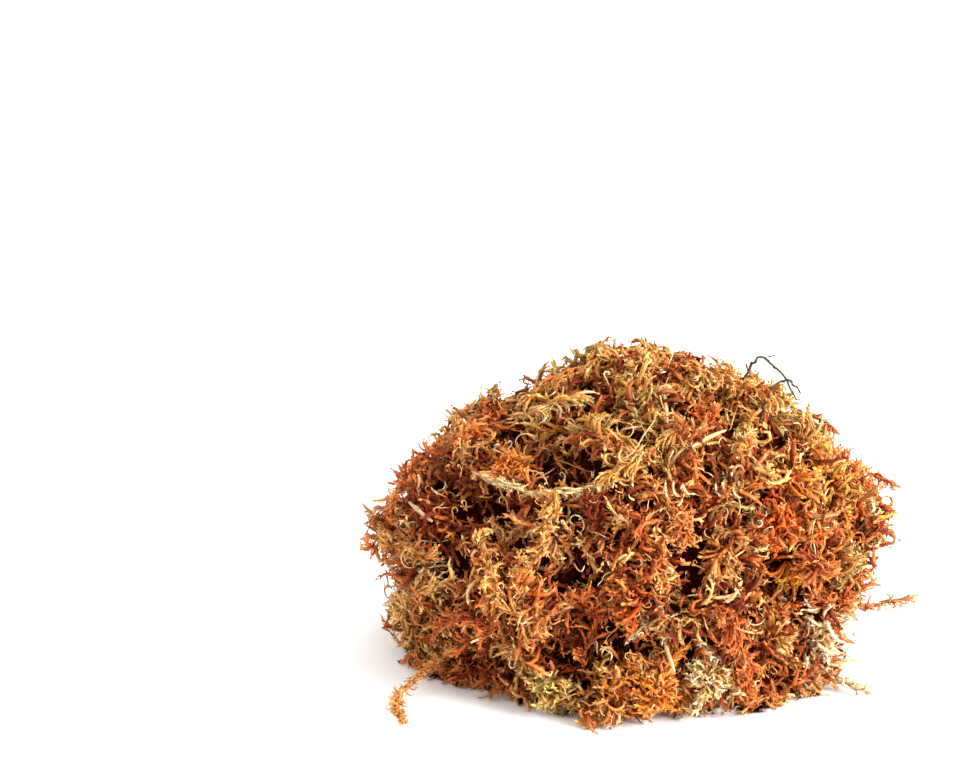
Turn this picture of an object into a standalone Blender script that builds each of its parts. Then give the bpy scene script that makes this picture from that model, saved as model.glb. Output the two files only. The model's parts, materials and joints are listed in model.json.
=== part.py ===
# A loose clump of dried sphagnum moss, torn from a pressed block and set down on a flat surface.
# One tangled mound carries the separate pieces that lie on it: the round heads of shoots, long
# leafy sprigs, sprigs that have strayed onto the surface, bent twigs and bits of straw.
# Metres, +Z up, the front of the clump towards -Y. The origin ends up under the middle of the whole
# clump, in the plane it rests on. The places below are measured before that last small shift.

import math
import random

import bmesh
import bpy
from mathutils import Matrix, Vector
from mathutils.bvhtree import BVHTree

MM = 0.001

# Driving sizes of the mound. Its form is a lumpy ball, drawn out below its widest level so that its
# foot stays broad, and cut off flat where it rests.
MOUND_HALF_WIDTH = 88 * MM
MOUND_HALF_DEPTH = 79 * MM
MOUND_WIDEST_LEVEL = 41 * MM
MOUND_RISE = 67 * MM
MOUND_DROP = 105 * MM
MOUND_FACES = 3000
MOUND_ICO_LEVEL = 6
SHOULDER_DROP = 9 * MM  # the left shoulder is lower than the right
SHOULDER_X = -50 * MM
SHOULDER_WIDTH = 30 * MM

# Tufts fused into the mound: long low lumps, with creases where they meet.
TUFT_COUNT = 150
TUFT_RISE = (2 * MM, 7 * MM)
TUFT_STEEPNESS = 0.055 / MM  # drop below the crest, per square metre of distance from it
TUFT_STRETCH = 0.5  # distance along the tuft counts this much of distance across it
CREASE_FLOOR = -5 * MM
PIT_RADIUS = 9 * MM
PIT_DEPTH = 11 * MM
HIDDEN_PIT_COUNT = 16

# Pointed ends of shoots, on part of the mound's faces.
SPIKE_SHARE = 0.45
SPIKE_REACH = (1 * MM, 3 * MM)
SPIKE_LOWEST = 8 * MM
SPIKE_LEAST_CREST = 0.5 * MM
SPIKE_LEAST_FACE = 14 * MM * MM  # the smallest face that carries a spike

GAP = 0.6 * MM  # air kept between touching pieces
CORNER_GAP = 1.3  # a grown ring's sides come nearer than its corners, so its corners take more air
FLATTEST_CUTTER = 0.7
CUTTER_FOOT = 1 * MM  # the grown mound reaches this far below the surface
LEAST_CUT = 0.12 * MM  # points closer than this are one point after a cut
FRONT_ELEVATION = math.radians(20)  # the front is seen from this far above the surface
FAR = 0.5

# Sprigs: how many sides and rings, and the faces left after trimming.
STRAND_SIDES = 6
STRAND_STEPS = 8
STRAND_FACES = 140
THIN_STEP = 8  # faces given back at a time where thinning would open a piece or push it into another
KNOB = 0.22  # how far the leafy knobs of a shoot stand out, as a share of its radius
SPRIG_SINK = 0.35  # share of a sprig's radius that is bedded in the pile
MOST_BEDDING = 0.6  # how much deeper than that a bump may reach into it

# Heads of shoots: flattened balls with short spikes on their outer half.
HEAD_FACES = 104
HEAD_SINK = 0.15  # the centre lies this share of the radius below the pile's surface
HEAD_FLATNESS = 0.75
HEAD_UNEVENNESS = 0.12
HEAD_SPIKE = 0.25
HEAD_SPIKE_SHARE = 0.6

# Places on the front are (right, up) in millimetres from the origin, seen from FRONT_ELEVATION.
PITS_ON_FRONT = ((-14, 26), (22, 28), (46, 27), (-62, 54), (-45, 84), (-25, 68), (-25, -6), (60, 14), (-14, 4))

# Broad dents that break the round outline: place on the front, radius and depth in mm.
DENTS = (
    ((78, 82), 18, 9),
    ((88, 2), 20, 16),
    ((-58, -14), 24, 15),
    ((-86, 66), 17, 6),
    ((36, 106), 24, 4),
)

# name, place on the front, radius in mm
HEADS_ON_FRONT = (
    ("rust_head_right", (52, 45), 12),
    ("rust_head_low_right", (63, 31), 10),
    ("rust_head_left", (-46, 69), 9),
    ("rust_head_top", (28, 84), 8),
    ("rust_head_foot", (8, -13), 12),
    ("rust_head_middle", (17, 43), 9),
    ("pale_head_foot", (27, -9), 11),
    ("pale_head_side", (80, 33), 9),
    ("pale_head_corner", (72, 3), 11),
    ("gold_head_foot", (-29, -15), 11),
    ("gold_head_top", (2, 102), 9),
    ("gold_head_shoulder", (53, 89), 9),
)

# name, places along it on the front, radius in mm
SPRIGS_ON_FRONT = (
    ("gold_sprig_crest", ((-50, 88), (-36, 90), (-20, 95)), 3.4),
    ("pale_sprig_across", ((-57, 65), (-36, 57), (-14, 60)), 3.0),
    ("gold_sprig_middle", ((-12, 62), (0, 67), (20, 79)), 3.0),
    ("gold_sprig_bend", ((44, 84), (39, 68), (54, 57)), 3.8),
    ("gold_sprig_left", ((-90, 50), (-84, 40), (-72, 34)), 3.6),
    ("gold_sprig_hanging", ((-26, 58), (-29, 42), (-38, 28)), 3.6),
    ("rust_sprig_centre", ((-20, 18), (-14, 2), (-20, -10)), 4.2),
    ("rust_sprig_low", ((30, 18), (37, 4), (40, -12)), 4.4),
    ("rust_sprig_right", ((58, 12), (68, 19), (81, 18)), 3.8),
    ("rust_sprig_corner", ((-70, 8), (-60, 14), (-46, 6)), 4.0),
    ("gold_sprig_low_left", ((-84, 12), (-76, 20), (-64, 27)), 3.4),
    ("gold_sprig_belly", ((-54, 40), (-46, 24), (-38, 10)), 3.8),
    ("rust_sprig_edge", ((72, 66), (82, 54), (88, 40)), 3.8),
    ("gold_sprig_top_left", ((-38, 94), (-24, 99), (-10, 101)), 3.2),
    ("gold_sprig_top_right", ((18, 99), (34, 94), (48, 87)), 3.2),
    ("rust_sprig_shoulder", ((-84, 62), (-72, 72), (-58, 80)), 3.6),
)

# Sprigs on the sides, the back and the top that the front doesn't show.
HIDDEN_SPRIG_COUNT = 12
HIDDEN_SPRIG_RADIUS = (3.2 * MM, 4.4 * MM)
HIDDEN_SPRIG_LENGTH = (34 * MM, 52 * MM)
HIDDEN_SPRIG_START = math.radians(15)  # angle around the mound, from its right side towards the back
HIDDEN_SPRIG_SWEEP = math.radians(175)
HIDDEN_SPRIG_RISE = (math.radians(2), math.radians(36))
HIDDEN_SPRIG_LOWEST = 8 * MM
HIDDEN_SPRIG_SEED = 19
HIDDEN_SPRIG_TURN = 0.35  # most turn, in radians, from one step of its path to the next
HIDDEN_KINDS = ("gold", "rust", "gold", "pale", "rust")

# Sprigs that lie partly on the surface beside the mound: name, points in mm, radius in mm.
STRAYS = (
    ("gold_stray_left", ((-50, -36, 24), (-60, -42, 20), (-70, -43, 11), (-78, -42, 5), (-83, -50, 3.4), (-84, -63, 3.3), (-82, -77, 3.3)), 3.2),
    ("rust_stray_right", ((70, 26, 8), (82, 33, 4), (92, 36, 3.4), (99, 35, 3.4), (102, 36, 7)), 2.6),
    ("pale_stray_corner", ((60, -34, 10), (70, -40, 5), (78, -46, 3.4), (85, -49, 3)), 3.4),
    ("rust_stray_top_right", ((46, 4, 85), (57, 3, 88), (65, 2, 88), (72, 1, 86)), 2.4),
    ("rust_stray_side", ((70, 12, 69), (85, 7, 66), (95, 2, 63)), 2.4),
)

# Bent bare twigs that stand out of the top: name, points in mm, radius in mm.
TWIGS = (
    ("twig_arch", ((38, -2, 98), (42, -2, 107), (47, -3, 113), (53, -4, 109), (60, -6, 98)), 0.7),
    ("twig_fork", ((46, -16, 92), (50, -14, 103), (56, -12, 108), (62, -13, 102)), 0.65),
    ("twig_back", ((18, 62, 58), (10, 76, 68), (-4, 79, 69), (-15, 62, 57)), 0.8),
)

# Flat bits of straw on the front: name, places along it on the front, half width in mm.
STRAWS_ON_FRONT = (
    ("straw_upright", ((12, 92), (13, 82)), 1.1),
    ("straw_slant", ((20, 70), (33, 78)), 1.3),
    ("straw_white", ((-76, 52), (-69, 46)), 1.2),
    ("straw_low", ((12, 3), (14, -4)), 1.0),
)
STRAW_SIDES = 4
STRAW_STEPS = 4
STRAW_SINK = 0.2
STRAW_THICKNESS_SHARE = 0.4
TWIG_SIDES = 5
TWIG_STEPS = 8
TWIG_TAPER = 0.4

COLOURS = {
    "mound": ((0.19, 0.075, 0.025), 0.95),
    "gold": ((0.56, 0.32, 0.08), 0.85),
    "rust": ((0.55, 0.14, 0.03), 0.85),
    "pale": ((0.72, 0.60, 0.30), 0.85),
    "twig": ((0.05, 0.04, 0.035), 0.8),
    "straw": ((0.78, 0.62, 0.40), 0.7),
}


def clear_scene():
    for item in list(bpy.data.objects):
        bpy.data.objects.remove(item)


def material(name, kind):
    made = bpy.data.materials.new(name)
    made.use_nodes = True
    surface = made.node_tree.nodes["Principled BSDF"]
    colour, roughness = COLOURS[kind]
    surface.inputs["Base Color"].default_value = (*colour, 1)
    surface.inputs["Roughness"].default_value = roughness
    surface.inputs["Metallic"].default_value = 0
    return made


def object_from(bm, name, kind=None):
    """A scene object that holds the bmesh. One with no kind is a cutter and isn't part of the clump."""
    mesh = bpy.data.meshes.new(name)
    bm.to_mesh(mesh)
    bm.free()
    made = bpy.data.objects.new(name, mesh)
    bpy.context.scene.collection.objects.link(made)
    if kind is None:
        made.hide_render = True
        made.display_type = "WIRE"
    else:
        mesh.materials.append(material(name, kind))
    return made


def half_sizes(upper):
    return Vector((MOUND_HALF_WIDTH, MOUND_HALF_DEPTH, MOUND_RISE if upper else MOUND_DROP))


def in_half_sizes(place, upper):
    """A place measured from the middle of the mound's widest level, in half sizes of the mound."""
    sizes = half_sizes(upper)
    return Vector((place.x / sizes.x, place.y / sizes.y, (place.z - MOUND_WIDEST_LEVEL) / sizes.z))


def on_form(direction):
    """The place on the mound's smooth form in a direction given in half sizes."""
    sizes = half_sizes(direction.z >= 0)
    return Vector((direction.x * sizes.x, direction.y * sizes.y, direction.z * sizes.z + MOUND_WIDEST_LEVEL))


def onto_form(place):
    """The place on the smooth form that is next to a given one."""
    return on_form(in_half_sizes(place, place.z >= MOUND_WIDEST_LEVEL).normalized())


def outward(place):
    """The way out of the mound at a place on its smooth form."""
    upper = place.z >= MOUND_WIDEST_LEVEL
    sizes = half_sizes(upper)
    scaled = in_half_sizes(place, upper)
    return Vector((scaled.x / sizes.x, scaled.y / sizes.y, scaled.z / sizes.z)).normalized()


def on_front(right, up):
    """Where the smooth form is seen from the front at (right, up) in millimetres, or its edge next to that."""
    way = Vector((0, math.cos(FRONT_ELEVATION), -math.sin(FRONT_ELEVATION)))
    upright = Vector((0, math.sin(FRONT_ELEVATION), math.cos(FRONT_ELEVATION)))
    seen = Vector((right * MM, 0, 0)) + upright * up * MM
    for upper in (True, False):
        start = in_half_sizes(seen, upper)
        ray = in_half_sizes(seen + way, upper) - start
        square = ray.length_squared
        half_linear = start.dot(ray)
        inside = half_linear**2 - square * (start.length_squared - 1)
        reach = (-half_linear - math.sqrt(max(0.0, inside))) / square
        found = (start + ray * reach).normalized()
        if (found.z >= 0) == upper:
            break
    return on_form(found)


def spiral_direction(index, count, jitter, chance):
    """One of count directions spread evenly over the ball, moved a little at random."""
    height = 1 - 2 * (index + 0.5) / count
    turn = index * math.pi * (3 - math.sqrt(5))
    ring = math.sqrt(1 - height * height)
    even = Vector((ring * math.cos(turn), ring * math.sin(turn), height))
    moved = Vector([chance.uniform(-jitter, jitter) for _ in range(3)])
    return (even + moved).normalized()


class Pile:
    """The mound and what already lies on it, as surfaces that the next piece is laid on and cut by."""

    def __init__(self):
        self.layers = []

    def add(self, piece, cutter):
        self.layers.append((cutter, surface_of(cutter), surface_of(piece)))

    def height_over(self, place):
        """How far the pile stands out beyond a place on the smooth form."""
        out = outward(place)
        hits = [grown.ray_cast(place + out * FAR, -out)[3] for _, grown, _ in self.layers]
        return FAR - min(distance for distance in hits if distance is not None)

    def near(self, piece):
        """The cutters whose boxes meet the piece's box."""
        low, high = box_of(piece.data)
        close = []
        for cutter, _, _ in self.layers:
            cutter_low, cutter_high = box_of(cutter.data)
            if all(low[k] <= cutter_high[k] and cutter_low[k] <= high[k] for k in range(3)):
                close.append(cutter)
        return close

    def touches(self, bm):
        """Whether a surface runs through any piece of the pile."""
        tree = BVHTree.FromBMesh(bm)
        return any(tree.overlap(below) for _, _, below in self.layers)


def surface_of(piece):
    bm = bmesh.new()
    bm.from_mesh(piece.data)
    tree = BVHTree.FromBMesh(bm)
    bm.free()
    return tree


def box_of(mesh):
    places = [vertex.co for vertex in mesh.vertices]
    low = [min(place[k] for place in places) for k in range(3)]
    high = [max(place[k] for place in places) for k in range(3)]
    return low, high


# The mound

def tufts(chance):
    """Crest, rise and lie of each tuft that is fused into the mound."""
    made = []
    for index in range(TUFT_COUNT):
        direction = spiral_direction(index, TUFT_COUNT, 0.12, chance)
        crest = on_form(direction)
        lie = outward(crest).cross(Vector([chance.uniform(-1, 1) for _ in range(3)])).normalized()
        made.append((crest, chance.uniform(*TUFT_RISE), lie))
    return made


def relief(place, made_tufts, hollows):
    """How far the mound's surface stands out of its smooth form at a place."""
    height = CREASE_FLOOR
    for crest, rise, lie in made_tufts:
        apart = place - crest
        along = apart.dot(lie)
        across_squared = apart.length_squared - along * along * (1 - TUFT_STRETCH**2)
        height = max(height, rise - TUFT_STEEPNESS * across_squared)
    for middle, radius, depth in hollows:
        height -= depth * math.exp(-(place - middle).length_squared / radius**2)
    side = (place.x - SHOULDER_X) / SHOULDER_WIDTH
    upper = max(0.0, outward(place).z)
    return height - SHOULDER_DROP * upper * math.exp(-side * side)


def make_mound(chance):
    bm = bmesh.new()
    bmesh.ops.create_icosphere(bm, subdivisions=MOUND_ICO_LEVEL, radius=1)
    made_tufts = tufts(chance)
    pits = [on_front(*place) for place in PITS_ON_FRONT] + hidden_pits(chance)
    hollows = [(pit, PIT_RADIUS, PIT_DEPTH) for pit in pits]
    hollows += [(on_front(*place), radius * MM, depth * MM) for place, radius, depth in DENTS]
    for vertex in bm.verts:
        place = on_form(vertex.co.normalized())
        vertex.co = place + outward(place) * relief(place, made_tufts, hollows)
    draft = object_from(bm, "mound_draft")
    coarse = draft.modifiers.new("Coarse", "DECIMATE")
    coarse.ratio = MOUND_FACES / len(draft.data.polygons)
    bm = evaluated(draft)
    bpy.data.objects.remove(draft)
    rest_on_surface(bm)
    add_spikes(bm, chance)
    return object_from(bm, "moss_mound", "mound")


def hidden_pits(chance):
    """Hollows on the half of the mound that the front doesn't show."""
    spread = [spiral_direction(index, 2 * HIDDEN_PIT_COUNT, 0.15, chance) for index in range(2 * HIDDEN_PIT_COUNT)]
    return [on_form(direction) for direction in spread if direction.y > 0]


def add_spikes(bm, chance):
    """Draws the middle of some faces out to a point. Only the crests have room for that."""
    fitting = []
    for face in bm.faces:
        middle = face.calc_center_median()
        foot = onto_form(middle)
        crest = (middle - foot).dot(outward(foot))
        if middle.z > SPIKE_LOWEST and crest > SPIKE_LEAST_CREST and face.calc_area() > SPIKE_LEAST_FACE:
            fitting.append(face)
    for face in fitting:
        if chance.random() < SPIKE_SHARE:
            bmesh.ops.poke(bm, faces=[face], offset=chance.uniform(*SPIKE_REACH))


def rest_on_surface(bm):
    """Cuts a shape off flat at the surface it rests on."""
    plane = {"plane_co": (0, 0, 0), "plane_no": (0, 0, -1)}
    if min(vertex.co.z for vertex in bm.verts) >= 0:
        return
    bmesh.ops.bisect_plane(bm, geom=bm.verts[:] + bm.edges[:] + bm.faces[:], clear_outer=True, **plane)
    for vertex in bm.verts:
        if vertex.co.z < 2 * LEAST_CUT:
            vertex.co.z = 0
    bmesh.ops.remove_doubles(bm, verts=bm.verts[:], dist=4 * LEAST_CUT)
    rim = [edge for edge in bm.edges if edge.is_boundary]
    bmesh.ops.holes_fill(bm, edges=rim)
    bmesh.ops.triangulate(bm, faces=[face for face in bm.faces if len(face.verts) > 3])
    bmesh.ops.recalc_face_normals(bm, faces=bm.faces[:])


def grow(bm, distance):
    bm.normal_update()
    moves = [vertex.normal * distance for vertex in bm.verts]
    for vertex, move in zip(bm.verts, moves):
        vertex.co += move


def mound_cutter(mound):
    """The mound grown by the gap, which trims whatever lies on it."""
    bm = bmesh.new()
    bm.from_mesh(mound.data)
    foot = [vertex for vertex in bm.verts if vertex.co.z == 0]
    grow(bm, GAP)
    for vertex in foot:
        vertex.co.z = -CUTTER_FOOT
    return object_from(bm, "cutter_moss_mound")


def centre_on_origin():
    """Moves everything so that the middle of the whole clump's box is over the origin."""
    visible = [item for item in bpy.data.objects if not item.hide_render]
    boxes = [box_of(item.data) for item in visible]
    middle = [(min(low[k] for low, _ in boxes) + max(high[k] for _, high in boxes)) / 2 for k in range(2)]
    for item in bpy.data.objects:
        item.location = (-middle[0], -middle[1], 0)


# Strands: every sprig, stray, twig and straw is a run of rings bridged together.

def frames_along(points):
    """For each point, its place and the two directions that span its ring, turned no more than needed."""
    frames = []
    side = None
    for index, place in enumerate(points):
        ahead = points[min(index + 1, len(points) - 1)] - points[max(index - 1, 0)]
        ahead.normalize()
        if side is None:
            side = outward(place).cross(ahead)
            if side.length < 0.1:
                side = ahead.orthogonal()
        side = (side - ahead * side.dot(ahead)).normalized()
        frames.append((place, side, ahead.cross(side), ahead))
    return frames


def bridge_rings(points, radii, sides, knob=0.0, flatness=1.0):
    """A closed tube through the points. Every other corner of a ring stands out by knob, in turn."""
    bm = bmesh.new()
    last = len(points) - 1
    previous = None
    for index, (place, side, up, ahead) in enumerate(frames_along(points)):
        turn = Matrix((side, up, ahead)).transposed().to_4x4()
        ring = bmesh.ops.create_circle(bm, cap_ends=index in (0, last), radius=1, segments=sides)["verts"]
        for corner, vertex in enumerate(ring):
            out = radii[index] * (1 + knob * (1 if (corner + index) % 2 else -1))
            vertex.co = turn @ Vector((vertex.co.x * out, vertex.co.y * out * flatness, 0)) + place
        edges = {edge for vertex in ring for edge in vertex.link_edges}
        if previous is not None:
            bmesh.ops.bridge_loops(bm, edges=list(edges | previous))
        previous = edges
    bmesh.ops.triangulate(bm, faces=bm.faces[:])
    bmesh.ops.recalc_face_normals(bm, faces=bm.faces[:])
    return bm


def shoot_radii(radius, count):
    """A shoot is thin where it broke off, leafy along its length and fullest near its growing tip."""
    radii = []
    for index in range(count):
        share = index / (count - 1)
        body = 0.75 + 0.4 * share
        ends = min(1.0, 0.35 + 4.0 * share, 0.3 + 4.5 * (1 - share))
        radii.append(radius * body * ends)
    return radii


def smooth_run(points, steps):
    """The points read from one smooth curve through the given ones."""
    if len(points) == 2:
        return [points[0].lerp(points[1], step / (steps - 1)) for step in range(steps)]
    ends = [points[0] * 2 - points[1], *points, points[-1] * 2 - points[-2]]
    run = []
    for step in range(steps):
        share = step / (steps - 1) * (len(points) - 1)
        span = min(int(share), len(points) - 2)
        t = share - span
        a, b, c, d = ends[span:span + 4]
        run.append(0.5 * (2 * b + (c - a) * t + (2 * a - 5 * b + 4 * c - d) * t**2 + (3 * b - a - 3 * c + d) * t**3))
    return run


def eased(values):
    return [(values[max(k - 1, 0)] + 2 * value + values[min(k + 1, len(values) - 1)]) / 4
            for k, value in enumerate(values)]


def laid_on(pile, run, radii, sink):
    """A run on the smooth form lifted onto the pile: sink is the share of the radius that is bedded in."""
    tops = [pile.height_over(place) + radius * (1 - sink) for place, radius in zip(run, radii)]
    heights = eased(eased(tops))
    heights = [max(height, top - radius * MOST_BEDDING) for height, top, radius in zip(heights, tops, radii)]
    return [place + outward(place) * height for place, height in zip(run, eased(heights))]


def carve(piece, pile, most_faces):
    """Trims a piece by whatever it lies on, and drops the crumbs that the trimming leaves."""
    for cutter in pile.near(piece):
        trim = piece.modifiers.new("Trim", "BOOLEAN")
        trim.operation = "DIFFERENCE"
        trim.object = cutter
    bm = evaluated(piece)
    rest_on_surface(bm)
    keep_largest_body(bm)
    bmesh.ops.triangulate(bm, faces=bm.faces[:])
    merge_short_edges(bm)
    bm.to_mesh(piece.data)
    bm.free()
    piece.modifiers.clear()
    thin_out(piece, pile, most_faces)


def evaluated(piece):
    graph = bpy.context.evaluated_depsgraph_get()
    bm = bmesh.new()
    bm.from_object(piece, graph)
    return bm


def is_closed(bm):
    return all(edge.is_manifold for edge in bm.edges) and all(vertex.is_manifold for vertex in bm.verts)


def merge_short_edges(bm):
    """Collapses edges too short to see, leaving any whose collapse would open or pinch the surface."""
    found = True
    while found:
        found = False
        for edge in sorted(bm.edges, key=lambda each: each.calc_length()):
            if edge.calc_length() > LEAST_CUT:
                break
            first, second = edge.verts
            around = {each.other_vert(first) for each in first.link_edges}
            shared = around & {each.other_vert(second) for each in second.link_edges}
            if len(shared) == 2:
                bmesh.ops.pointmerge(bm, verts=[first, second], merge_co=(first.co + second.co) / 2)
                found = True
                break


def thin_out(piece, pile, most_faces):
    """Merges the flattest faces until about most_faces are left, or more where the shape needs them."""
    faces = len(piece.data.polygons)
    for goal in range(most_faces, faces, THIN_STEP):
        coarse = piece.modifiers.new("Coarse", "DECIMATE")
        coarse.ratio = goal / faces
        bm = evaluated(piece)
        piece.modifiers.clear()
        fits = is_closed(bm) and not pile.touches(bm)
        if fits:
            bm.to_mesh(piece.data)
        bm.free()
        if fits:
            return


def keep_largest_body(bm):
    unseen = set(bm.verts)
    bodies = []
    while unseen:
        body = {unseen.pop()}
        edge_of_search = list(body)
        while edge_of_search:
            vertex = edge_of_search.pop()
            found = {edge.other_vert(vertex) for edge in vertex.link_edges} & unseen
            unseen -= found
            body |= found
            edge_of_search.extend(found)
        bodies.append(body)
    bodies.sort(key=len)
    crumbs = [vertex for body in bodies[:-1] for vertex in body]
    bmesh.ops.delete(bm, geom=crumbs, context="VERTS")


def make_strand(pile, name, kind, run, radii, sides=STRAND_SIDES, knob=KNOB, flatness=1.0):
    """A strand trimmed by the pile, which then grows by it."""
    piece = object_from(bridge_rings(run, radii, sides, knob, flatness), name, kind)
    carve(piece, pile, STRAND_FACES)
    wide = [radius * (1 + knob) + GAP * CORNER_GAP for radius in radii]
    pile.add(piece, object_from(bridge_rings(run, wide, sides, 0.0, max(flatness, FLATTEST_CUTTER)), "cutter_" + name))


def kind_of(name):
    return name.split("_")[0]


def make_front_sprig(pile, name, places, radius):
    radii = shoot_radii(radius * MM, STRAND_STEPS)
    run = smooth_run([on_front(*place) for place in places], STRAND_STEPS)
    make_strand(pile, name, kind_of(name), laid_on(pile, run, radii, SPRIG_SINK), radii)


def make_hidden_sprig(pile, number, chance):
    """A sprig on the sides, the back or the top, laid along a wandering path."""
    kind = HIDDEN_KINDS[number % len(HIDDEN_KINDS)]
    around = HIDDEN_SPRIG_START + HIDDEN_SPRIG_SWEEP * number / HIDDEN_SPRIG_COUNT
    rise = chance.uniform(*HIDDEN_SPRIG_RISE)
    direction = Vector((math.cos(around) * math.cos(rise), math.sin(around) * math.cos(rise), math.sin(rise)))
    place = on_form(direction)
    heading = Matrix.Rotation(chance.uniform(0, math.tau), 3, outward(place)) @ outward(place).orthogonal()
    length = chance.uniform(*HIDDEN_SPRIG_LENGTH)
    radii = shoot_radii(chance.uniform(*HIDDEN_SPRIG_RADIUS), STRAND_STEPS)
    run = []
    for _ in range(STRAND_STEPS):
        run.append(place)
        out = outward(place)
        heading = Matrix.Rotation(chance.uniform(-1, 1) * HIDDEN_SPRIG_TURN, 3, out) @ heading
        if place.z < HIDDEN_SPRIG_LOWEST:
            heading.z = abs(heading.z)
        heading = (heading - out * heading.dot(out)).normalized()
        place = onto_form(place + heading * length / (STRAND_STEPS - 1))
    make_strand(pile, f"{kind}_sprig_back_{number + 1}", kind, laid_on(pile, run, radii, SPRIG_SINK), radii)


# Heads: the rosette at the tip of a shoot, a bud with short spikes.

def make_head(pile, name, place, radius, chance):
    out = outward(place)
    bm = bmesh.new()
    bmesh.ops.create_icosphere(bm, subdivisions=2, radius=radius)
    for vertex in bm.verts:
        vertex.co *= 1 + chance.uniform(-HEAD_UNEVENNESS, HEAD_UNEVENNESS)
    bm.normal_update()
    upper = [face for face in bm.faces if face.normal.z > 0.3]
    spikes = [face for face in upper if chance.random() < HEAD_SPIKE_SHARE]
    bmesh.ops.poke(bm, faces=spikes, offset=radius * HEAD_SPIKE)
    bmesh.ops.transform(bm, matrix=Matrix.Diagonal((1, 1, HEAD_FLATNESS, 1)), verts=bm.verts[:])
    turn = out.to_track_quat("Z", "Y").to_matrix().to_4x4()
    centre = place + out * (pile.height_over(place) - radius * HEAD_SINK)
    bmesh.ops.transform(bm, matrix=Matrix.Translation(centre) @ turn, verts=bm.verts[:])
    piece = object_from(bm, name, kind_of(name))
    carve(piece, pile, HEAD_FACES)
    bm = bmesh.new()
    for vertex in piece.data.vertices:
        bm.verts.new(vertex.co)
    bmesh.ops.convex_hull(bm, input=bm.verts[:])
    bmesh.ops.delete(bm, geom=[vertex for vertex in bm.verts if not vertex.link_faces], context="VERTS")
    bmesh.ops.recalc_face_normals(bm, faces=bm.faces[:])
    grow(bm, GAP)
    pile.add(piece, object_from(bm, "cutter_" + name))


def make_straw(pile, name, places, half_width):
    run = smooth_run([on_front(*place) for place in places], STRAW_STEPS)
    radii = [half_width * MM] * len(run)
    laid = laid_on(pile, run, radii, STRAW_SINK)
    make_strand(pile, name, "straw", laid, radii, STRAW_SIDES, 0.0, STRAW_THICKNESS_SHARE)


def make_stray(pile, name, points, radius):
    run = smooth_run([Vector(point) * MM for point in points], STRAND_STEPS)
    make_strand(pile, name, kind_of(name), run, shoot_radii(radius * MM, STRAND_STEPS))


def make_twig(pile, name, points, radius):
    run = smooth_run([Vector(point) * MM for point in points], TWIG_STEPS)
    radii = [radius * MM * (1 - TWIG_TAPER * step / (TWIG_STEPS - 1)) for step in range(TWIG_STEPS)]
    make_strand(pile, name, "twig", run, radii, TWIG_SIDES, 0.0)


def main():
    clear_scene()
    chance = random.Random(11)
    mound = make_mound(chance)
    pile = Pile()
    pile.add(mound, mound_cutter(mound))
    for name, place, radius in HEADS_ON_FRONT:
        make_head(pile, name, on_front(*place), radius * MM, chance)
    for name, places, radius in SPRIGS_ON_FRONT:
        make_front_sprig(pile, name, places, radius)
    lying = random.Random(HIDDEN_SPRIG_SEED)
    for number in range(HIDDEN_SPRIG_COUNT):
        make_hidden_sprig(pile, number, lying)
    for name, points, radius in STRAYS:
        make_stray(pile, name, points, radius)
    for name, points, radius in TWIGS:
        make_twig(pile, name, points, radius)
    for name, places, half_width in STRAWS_ON_FRONT:
        make_straw(pile, name, places, half_width)
    centre_on_origin()


main()
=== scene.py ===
import json
import math
import random

import bmesh
import bpy
import numpy as np
from mathutils import Matrix, Vector, noise
from mathutils.bvhtree import BVHTree


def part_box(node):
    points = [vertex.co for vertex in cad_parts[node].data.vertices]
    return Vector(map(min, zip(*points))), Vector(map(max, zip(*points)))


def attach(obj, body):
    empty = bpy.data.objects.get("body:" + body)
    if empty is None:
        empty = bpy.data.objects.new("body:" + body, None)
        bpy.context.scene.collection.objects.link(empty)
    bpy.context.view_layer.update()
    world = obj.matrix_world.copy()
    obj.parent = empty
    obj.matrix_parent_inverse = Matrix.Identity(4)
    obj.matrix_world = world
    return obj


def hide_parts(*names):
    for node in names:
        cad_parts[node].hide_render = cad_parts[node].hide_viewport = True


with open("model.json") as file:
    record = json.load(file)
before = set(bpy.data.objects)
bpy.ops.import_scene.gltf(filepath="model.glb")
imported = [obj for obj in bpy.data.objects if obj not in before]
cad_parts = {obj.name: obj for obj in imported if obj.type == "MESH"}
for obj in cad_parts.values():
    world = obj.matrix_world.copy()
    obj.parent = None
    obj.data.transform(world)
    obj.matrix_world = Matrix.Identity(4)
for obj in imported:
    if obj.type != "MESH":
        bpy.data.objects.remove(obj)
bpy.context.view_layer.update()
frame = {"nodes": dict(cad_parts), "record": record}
slotOf = {part["node"]: part["material_slot"] for part in frame["record"]["subparts"]}
print("stage: the packed clump is loaded,", len(frame["nodes"]), "nodes")

# Patches, marks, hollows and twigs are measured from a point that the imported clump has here
measuredFrom = Vector((-0.00465, 0.00185, 0.0))

# Without a seed of its own the flow of the strands would differ from run to run
noise.seed_set(3)


def namedRows(fields, rows):
    # a table whose rows give the values of the same fields
    return {name: dict(zip(fields.split(), row)) for name, row in rows.items()}


def addObject(name, data):
    made = bpy.data.objects.new(name, data)
    bpy.context.scene.collection.objects.link(made)
    return made


def meshFrom(bm, name):
    mesh = bpy.data.meshes.new(name)
    bm.to_mesh(mesh)
    bm.free()
    return mesh


def addPiece(name, mesh, finish, nodes):
    # a finished piece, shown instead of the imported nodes
    mesh.polygons.foreach_set("use_smooth", [True] * len(mesh.polygons))
    mesh.materials.append(finish)
    piece = addObject(name, mesh)
    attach(piece, "root")
    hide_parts(*nodes)
    print("  piece", name, len(mesh.polygons), "faces")


# The camera, the lights and the floor

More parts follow.
